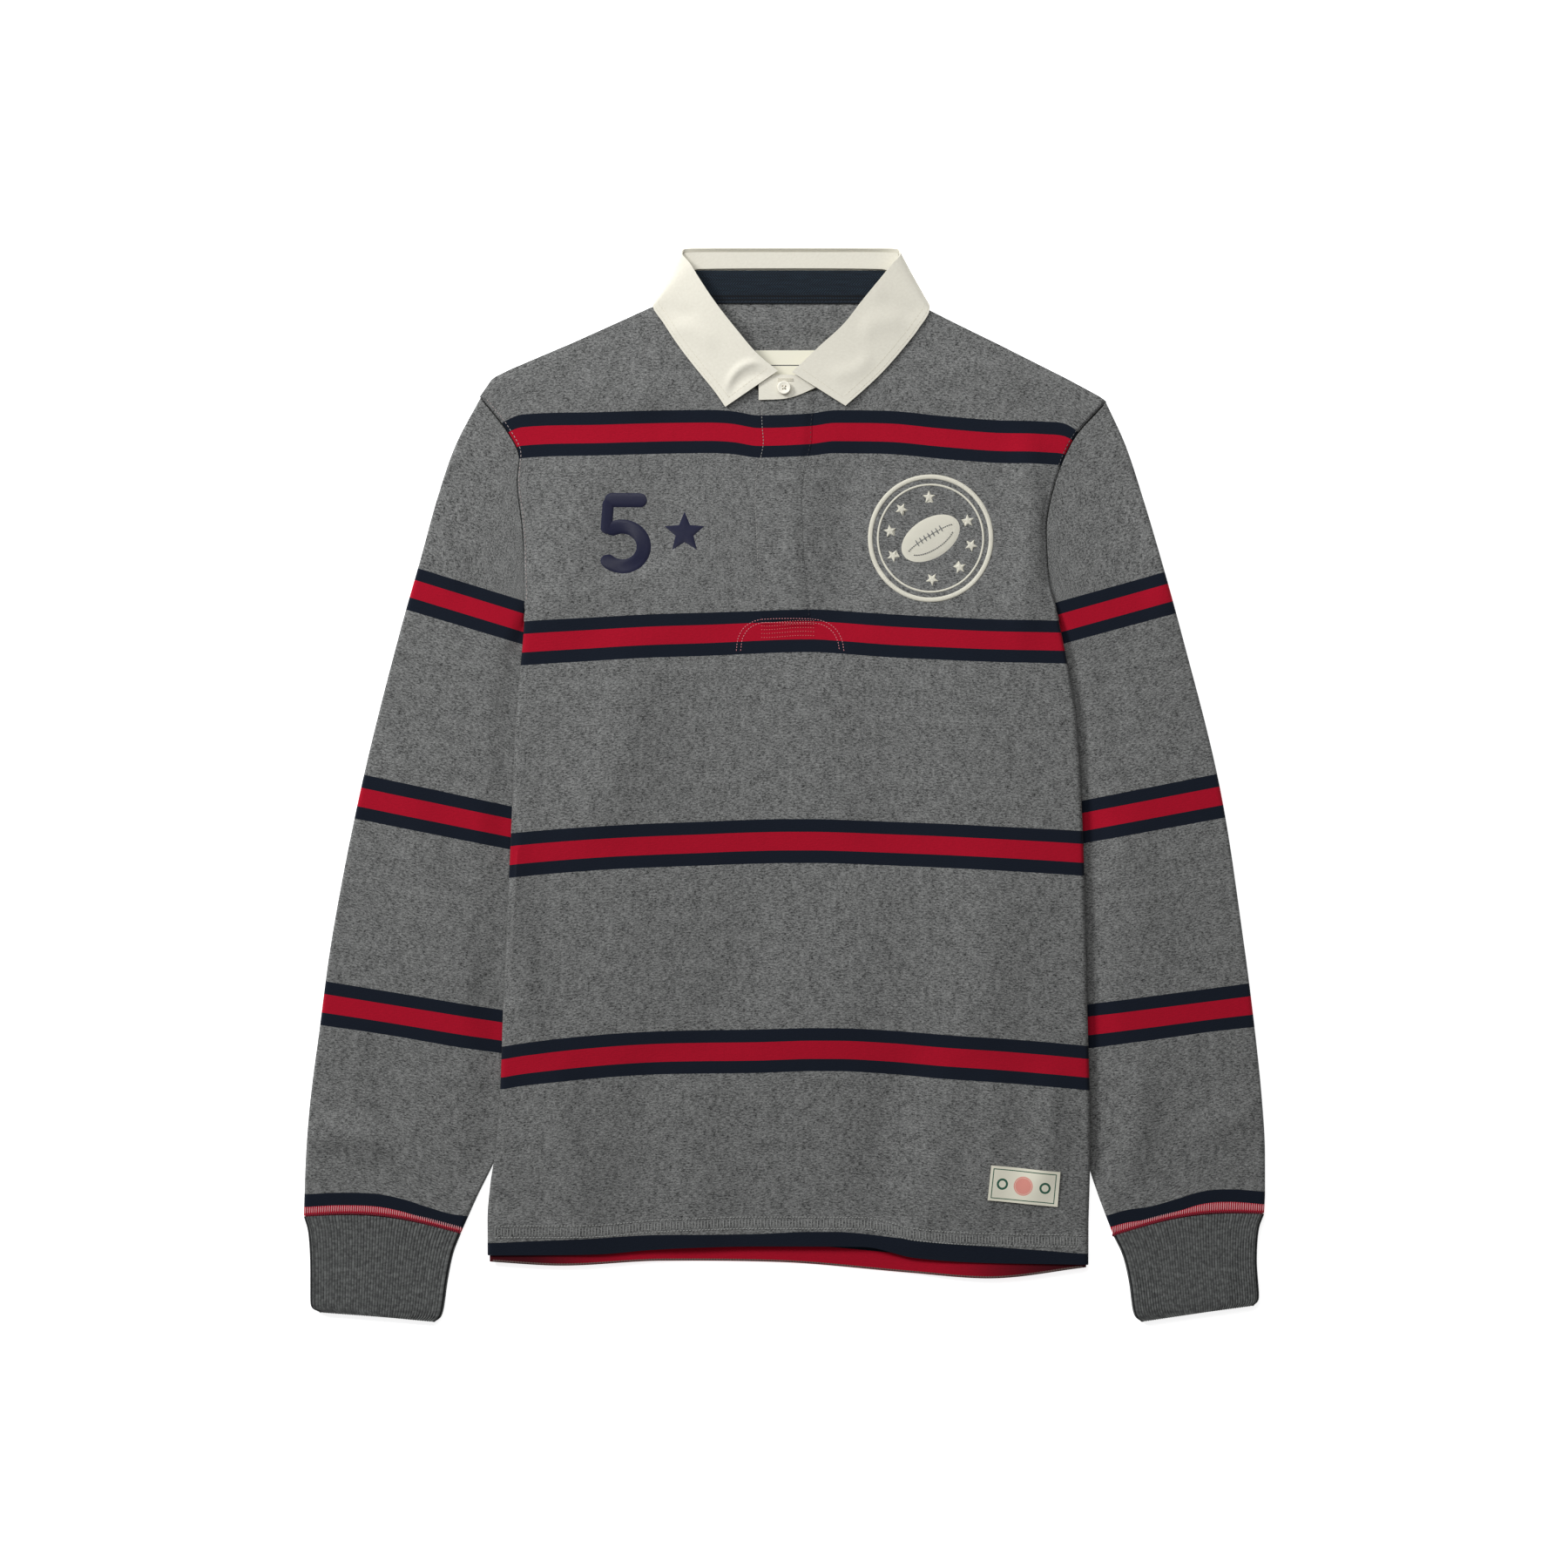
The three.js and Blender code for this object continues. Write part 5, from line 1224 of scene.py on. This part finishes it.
# Foot of the placket: the reinforcement's bowed outline sewn twice, and five wavy rows across it.
LAP_RISE = 1.7                     # stitches that cross the lap's foot lie this much higher
PATCH = np.array([(-35, 98), (-33.5, 108), (-28.5, 116), (-20, 120.6), (-10, 121.6), (5, 121.9), (20, 121.6),
                  (31, 119.2), (38.5, 113.6), (42.5, 106), (44, 98)])
PATCH_CENTRE, PATCH_ROWS = [NECK_MIDDLE, 100], (0, 3.2)
BAR_ROWS, BAR_RISE, LAP_EDGE = (119.6, 117.2, 114.6, 111.8, 108.8), 1.6, 117
outline = along(np.linspace(0, 1, 90), np.linspace(0, 1, len(PATCH)), PATCH)
outwards = (outline - PATCH_CENTRE) / np.linalg.norm(outline - PATCH_CENTRE, axis=1, keepdims=True)
patch_parts = []
for inset in PATCH_ROWS:
    x, y = (outline - outwards * inset).T
    over_lap = (x > lap_x[0, 0] - 1) & (x < lap_x[0, -1] + 1) & (y > lap_y[0].min() - 1.5)
    patch_parts.append(row_of(on_panel(x, y, extra=0.1 + over_lap * LAP_RISE), "patch"))
across_x = np.linspace(-17, 24, 60)
bars = [on_panel(across_x, y + 0.8 * np.sin(across_x / 9), extra=0.12 + BAR_RISE * (y > LAP_EDGE))
        for y in BAR_ROWS]
sewn_piece("patch_stitches", patch_parts, thread("patch_thread", (206, 136, 142)))
sewn_piece("bar_stitches", [row_of(bar, "bar") for bar in bars], thread("bar_thread", (204, 104, 108)))

# Cuffs: upright cover stitches in pink over the red course, and a red row at the seam.
COVER_UP = 1.4                     # the cover stitches start this far above the seam
COVER_PITCH, COVER_LEAN, COVER_REACH, COVER_RADIUS = 1.6, 0.3, (3, 7), 0.4
for name in ("left", "right"):
    rows = SLEEVES[name]["rows"]
    s = np.linspace(0.01, 1.075, 170)
    seam_x, seam_y = (mix(rows["outer" + axis][-1], rows["contact" + axis][-1], s) for axis in ("_x", "_y"))
    seam_y = seam_y + SEAM_WAVE * np.sin(np.pi * s)
    foot = np.stack([seam_x, seam_y + COVER_UP, np.full_like(s, SLEEVE_TOP + CLOTH / 2 + 0.1)], -1)
    start = spaced(foot, COVER_PITCH, 0.5)[0]
    band = SLEEVES[name]["band"]
    reach = along(start[:, 0], band["x"], band["y"]) - (STRIPE_HALF - RED_HALF) - start[:, 1]
    end = start + np.stack([0 * reach + COVER_LEAN, np.clip(reach, *COVER_REACH), 0 * reach], -1)
    sewn_piece("cover_stitches_" + name, [spindles(start, end, COVER_RADIUS)], pink_thread)
    foot[:, 1] -= COVER_UP
    sewn_piece("cuff_seam_" + name, [row_of(foot, "cuff seam")], red_thread)

# Collar: a double row along the leaves' free edges. Tape: a row along its lower edge.
inner_row = np.searchsorted(fall_share, 0.92)
collar_top = fall_grid + [0, 0, TWILL / 2 + 0.02]
collar_lines = [collar_top[part, column] for column in (inner_row, inner_row - 2)
                for part in (slice(4, 88), slice(STATIONS - 88, STATIONS - 4))]
collar_lines += [collar_top[4, 6:inner_row], collar_top[-5, 6:inner_row]]
collar_thread = thread("collar_thread", (214, 209, 192))
sewn_piece("collar_stitches", [row_of(path, "collar") for path in collar_lines], collar_thread)
tape_line = tape_grid[-2, 2:-2] + [0, 0, TAPE / 2 + 0.02]
sewn_piece("tape_stitches", [row_of(tape_line, "tape")], thread("navy_thread", (48, 58, 70)))

# ---------------------------------------------------------------- embroidery
# Raised satin stitch on the chest: a navy numeral with a star, and a cream roundel
# holding a ball and stars. Both are plain generic motifs worked on the front.
SATIN_HIGH, THREAD_PITCH = 0.75, 0.45


def satin_band(path, width, closed=False, high=SATIN_HIGH):
    """A padded satin band along a plan path: half-round across, rounded at open ends. Its
    surface position runs across and along it, for the threads."""
    path = np.asarray(path, float)
    ahead = np.roll(path, -1, 0) - np.roll(path, 1, 0) if closed else np.gradient(path, axis=0)
    ahead /= np.linalg.norm(ahead, axis=1, keepdims=True)
    far = far_along(path)
    half = np.full(len(path), width / 2)
    if not closed:
        near_end = np.minimum(far, far[-1] - far) / (width / 2)
        half = half * np.sqrt(np.clip(1 - (1 - np.clip(near_end, 0.01, 1)) ** 2, 0.02, 1))
    s = np.array([-1, -0.85, -0.5, 0, 0.5, 0.85, 1, 0])
    rise = np.array([0, 0.6, 0.92, 1, 0.92, 0.6, 0, -0.1]) * high
    side = np.stack([-ahead[:, 1], ahead[:, 0]], -1)
    plan = path[:, None] + side[:, None] * (half[:, None] * s)[..., None]
    base = panel_at(plan[..., 0], plan[..., 1]) + CLOTH / 2
    z = base + rise * (half / half.max())[:, None] ** 0.5
    ids = np.arange(len(path) * 8).reshape(-1, 8)
    nxt = np.roll(ids, -1, axis=1)
    a, b = (np.roll(ids, -1, 0), np.roll(nxt, -1, 0)) if closed else (ids[1:], nxt[1:])
    lo, hi = (ids, nxt) if closed else (ids[:-1], nxt[:-1])
    faces = [np.stack([lo, a, b, hi], -1).reshape(-1, 4)]
    if not closed:
        for row in (ids[0], ids[-1][::-1]):
            faces.append(row[[[0, 1, 6, 7], [1, 2, 5, 6], [2, 3, 4, 5]]])
    uv = np.stack([half[:, None] * s, np.broadcast_to(far[:, None], z.shape)], -1)
    return (np.concatenate([plan, z[..., None]], -1).reshape(-1, 3), np.concatenate(faces)), uv.reshape(-1, 2)


def satin_patch(outline, high=SATIN_HIGH):
    """A filled patch inside a closed plan outline with an even number of points: rings from
    the edge inwards that rise like a flat dome."""
    outline = np.asarray(outline, float)
    centre = outline.mean(0)
    s = np.array([1, 0.96, 0.85, 0.5, 0.05])
    plan = centre + (outline - centre) * s[:, None, None]
    z = panel_at(plan[..., 0], plan[..., 1]) + CLOTH / 2 + high * (1 - s[:, None] ** 6)
    count = len(outline)
    ids = np.arange(5 * count).reshape(5, count)
    nxt = np.roll(ids, -1, axis=1)
    k = np.arange(count // 2 - 1)
    cap = np.stack([ids[-1][k], ids[-1][k + 1], ids[-1][-k - 2], ids[-1][-k - 1]], -1)
    floor_cap = np.stack([ids[0][-k - 1], ids[0][-k - 2], ids[0][k + 1], ids[0][k]], -1)
    sides = np.stack([ids[:-1], nxt[:-1], nxt[1:], ids[1:]], -1).reshape(-1, 4)
    faces = np.concatenate([sides, cap, floor_cap])
    return (np.concatenate([plan, z[..., None]], -1).reshape(-1, 3), faces), plan.reshape(-1, 2)


def arc(centre, radii, start, end, count=80, tilt=0.0):
    """Plan points on an ellipse from one angle to another, in degrees."""
    a = np.radians(np.linspace(start, end, count))
    points = np.stack([radii[0] * np.cos(a), radii[1] * np.sin(a)], -1)
    c, s = np.cos(np.radians(tilt)), np.sin(np.radians(tilt))
    return points @ np.array([(c, s), (-s, c)]) + centre


def whole(centre, radii, count=96, tilt=0.0):
    """A closed ellipse without its repeated end point."""
    return arc(centre, radii, 0, 360, count + 1, tilt)[:-1]


def star(centre, radius, turn=90.0):
    """Outline of a five-pointed star, each side in three steps."""
    corner = np.radians(turn + 36 * np.arange(10))
    reach = np.where(np.arange(10) % 2, 0.45, 1.0) * radius
    points = np.stack([reach * np.cos(corner), reach * np.sin(corner)], -1)
    sides = mix(points[:, None], np.roll(points, -1, 0)[:, None], np.arange(3)[None, :, None] / 3)
    return sides.reshape(-1, 2) + centre


def line(*points, step=0.8):
    """A plan path through points in even steps."""
    points = np.array(points, float)
    far = far_along(points)
    at = np.linspace(0, far[-1], max(4, int(far[-1] / step)))
    return np.stack([np.interp(at, far, points[:, k]) for k in range(2)], -1)


def satin(name, colour):
    """Embroidery thread laid side by side: fine ridges across each band."""
    made, tree, shader = principled(name, Base_Color=srgb(*colour), Roughness=0.5, Specular_IOR_Level=0.3)
    ridge = maths(tree, "SINE", maths(tree, "MULTIPLY", cloth_map(tree)[2], 2 * np.pi / THREAD_PITCH))
    finish(tree, shader, height=ridge, strength=0.5, depth=0.0002)
    return made


def embroidered(name, shapes, material):
    """One piece of embroidery from shapes that each come with their surface positions."""
    sewn_piece(name, [shape for shape, _ in shapes], material, uv=np.concatenate([uv for _, uv in shapes]))


NUMERAL_X, NUMERAL_Y, STROKE = -139.0, 155.0, 10.5
CHEST_STAR, CHEST_STAR_RADIUS = (-73, 185), 15.5
embroidered("numeral", [
    satin_band(line((NUMERAL_X + 7.5, NUMERAL_Y + 53.8), (NUMERAL_X + 38.5, NUMERAL_Y + 53.8)), STROKE),
    satin_band(line((NUMERAL_X + 10.5, NUMERAL_Y + 55), (NUMERAL_X + 8.5, NUMERAL_Y + 29)), STROKE * 0.8),
    satin_band(arc((NUMERAL_X + 20.5, NUMERAL_Y + 19.8), (15.6, 14.6), 138, -152, 90), STROKE),
    satin_patch(star(CHEST_STAR, CHEST_STAR_RADIUS)),
], satin("navy_satin", (30, 32, 58)))

EMBLEM = np.array([107.5, 180.8])
BALL, BALL_TILT = (23.5, 14.5), 32.0
OUTER_RING, INNER_RING = (44.3, 45.2), (38.6, 39.4)
STAR_OUT, STAR_RADIUS, STAR_ANGLES = 30.2, 5.0, (92, 135, 170, 205, 272, 315, 350, 25)
LACE_STEP, LACE_UP, LACE_HALF = 3.4, 2.1, 2.6
seam_ends = arc(EMBLEM, (21, 1), 180, 0, 2, BALL_TILT)
along_ball = (seam_ends[1] - seam_ends[0]) / np.linalg.norm(seam_ends[1] - seam_ends[0])
over_ball = np.array([-along_ball[1], along_ball[0]])
emblem_shapes = [
    satin_band(whole(EMBLEM, OUTER_RING, 180), 3.4, closed=True),
    satin_band(whole(EMBLEM, INNER_RING, 160), 1.5, closed=True, high=0.5),
    satin_patch(whole(EMBLEM, BALL, 96, BALL_TILT)),
] + [satin_patch(star(EMBLEM + STAR_OUT * np.array([np.cos(a), np.sin(a)]), STAR_RADIUS, np.degrees(a)))
     for a in np.radians(STAR_ANGLES)]
embroidered("emblem", emblem_shapes, satin("cream_satin", (226, 223, 208)))
ball_lines = [arc(EMBLEM, (19, 2.2), 180, 0, 60, BALL_TILT), arc(EMBLEM, (19, 8.5), 205, 335, 60, BALL_TILT)]
ball_parts = [row_of(on_panel(*path.T, extra=SATIN_HIGH), "ball") for path in ball_lines]
laces = EMBLEM + along_ball * (np.arange(-3, 4) * LACE_STEP)[:, None] + over_ball * LACE_UP
lace_ends = (on_panel(*(laces + over_ball * out).T, extra=SATIN_HIGH) for out in (-LACE_HALF, LACE_HALF))
ball_parts.append(spindles(*lace_ends, 0.5))
sewn_piece("emblem_lines", ball_parts, thread("emblem_grey", (120, 121, 120)))
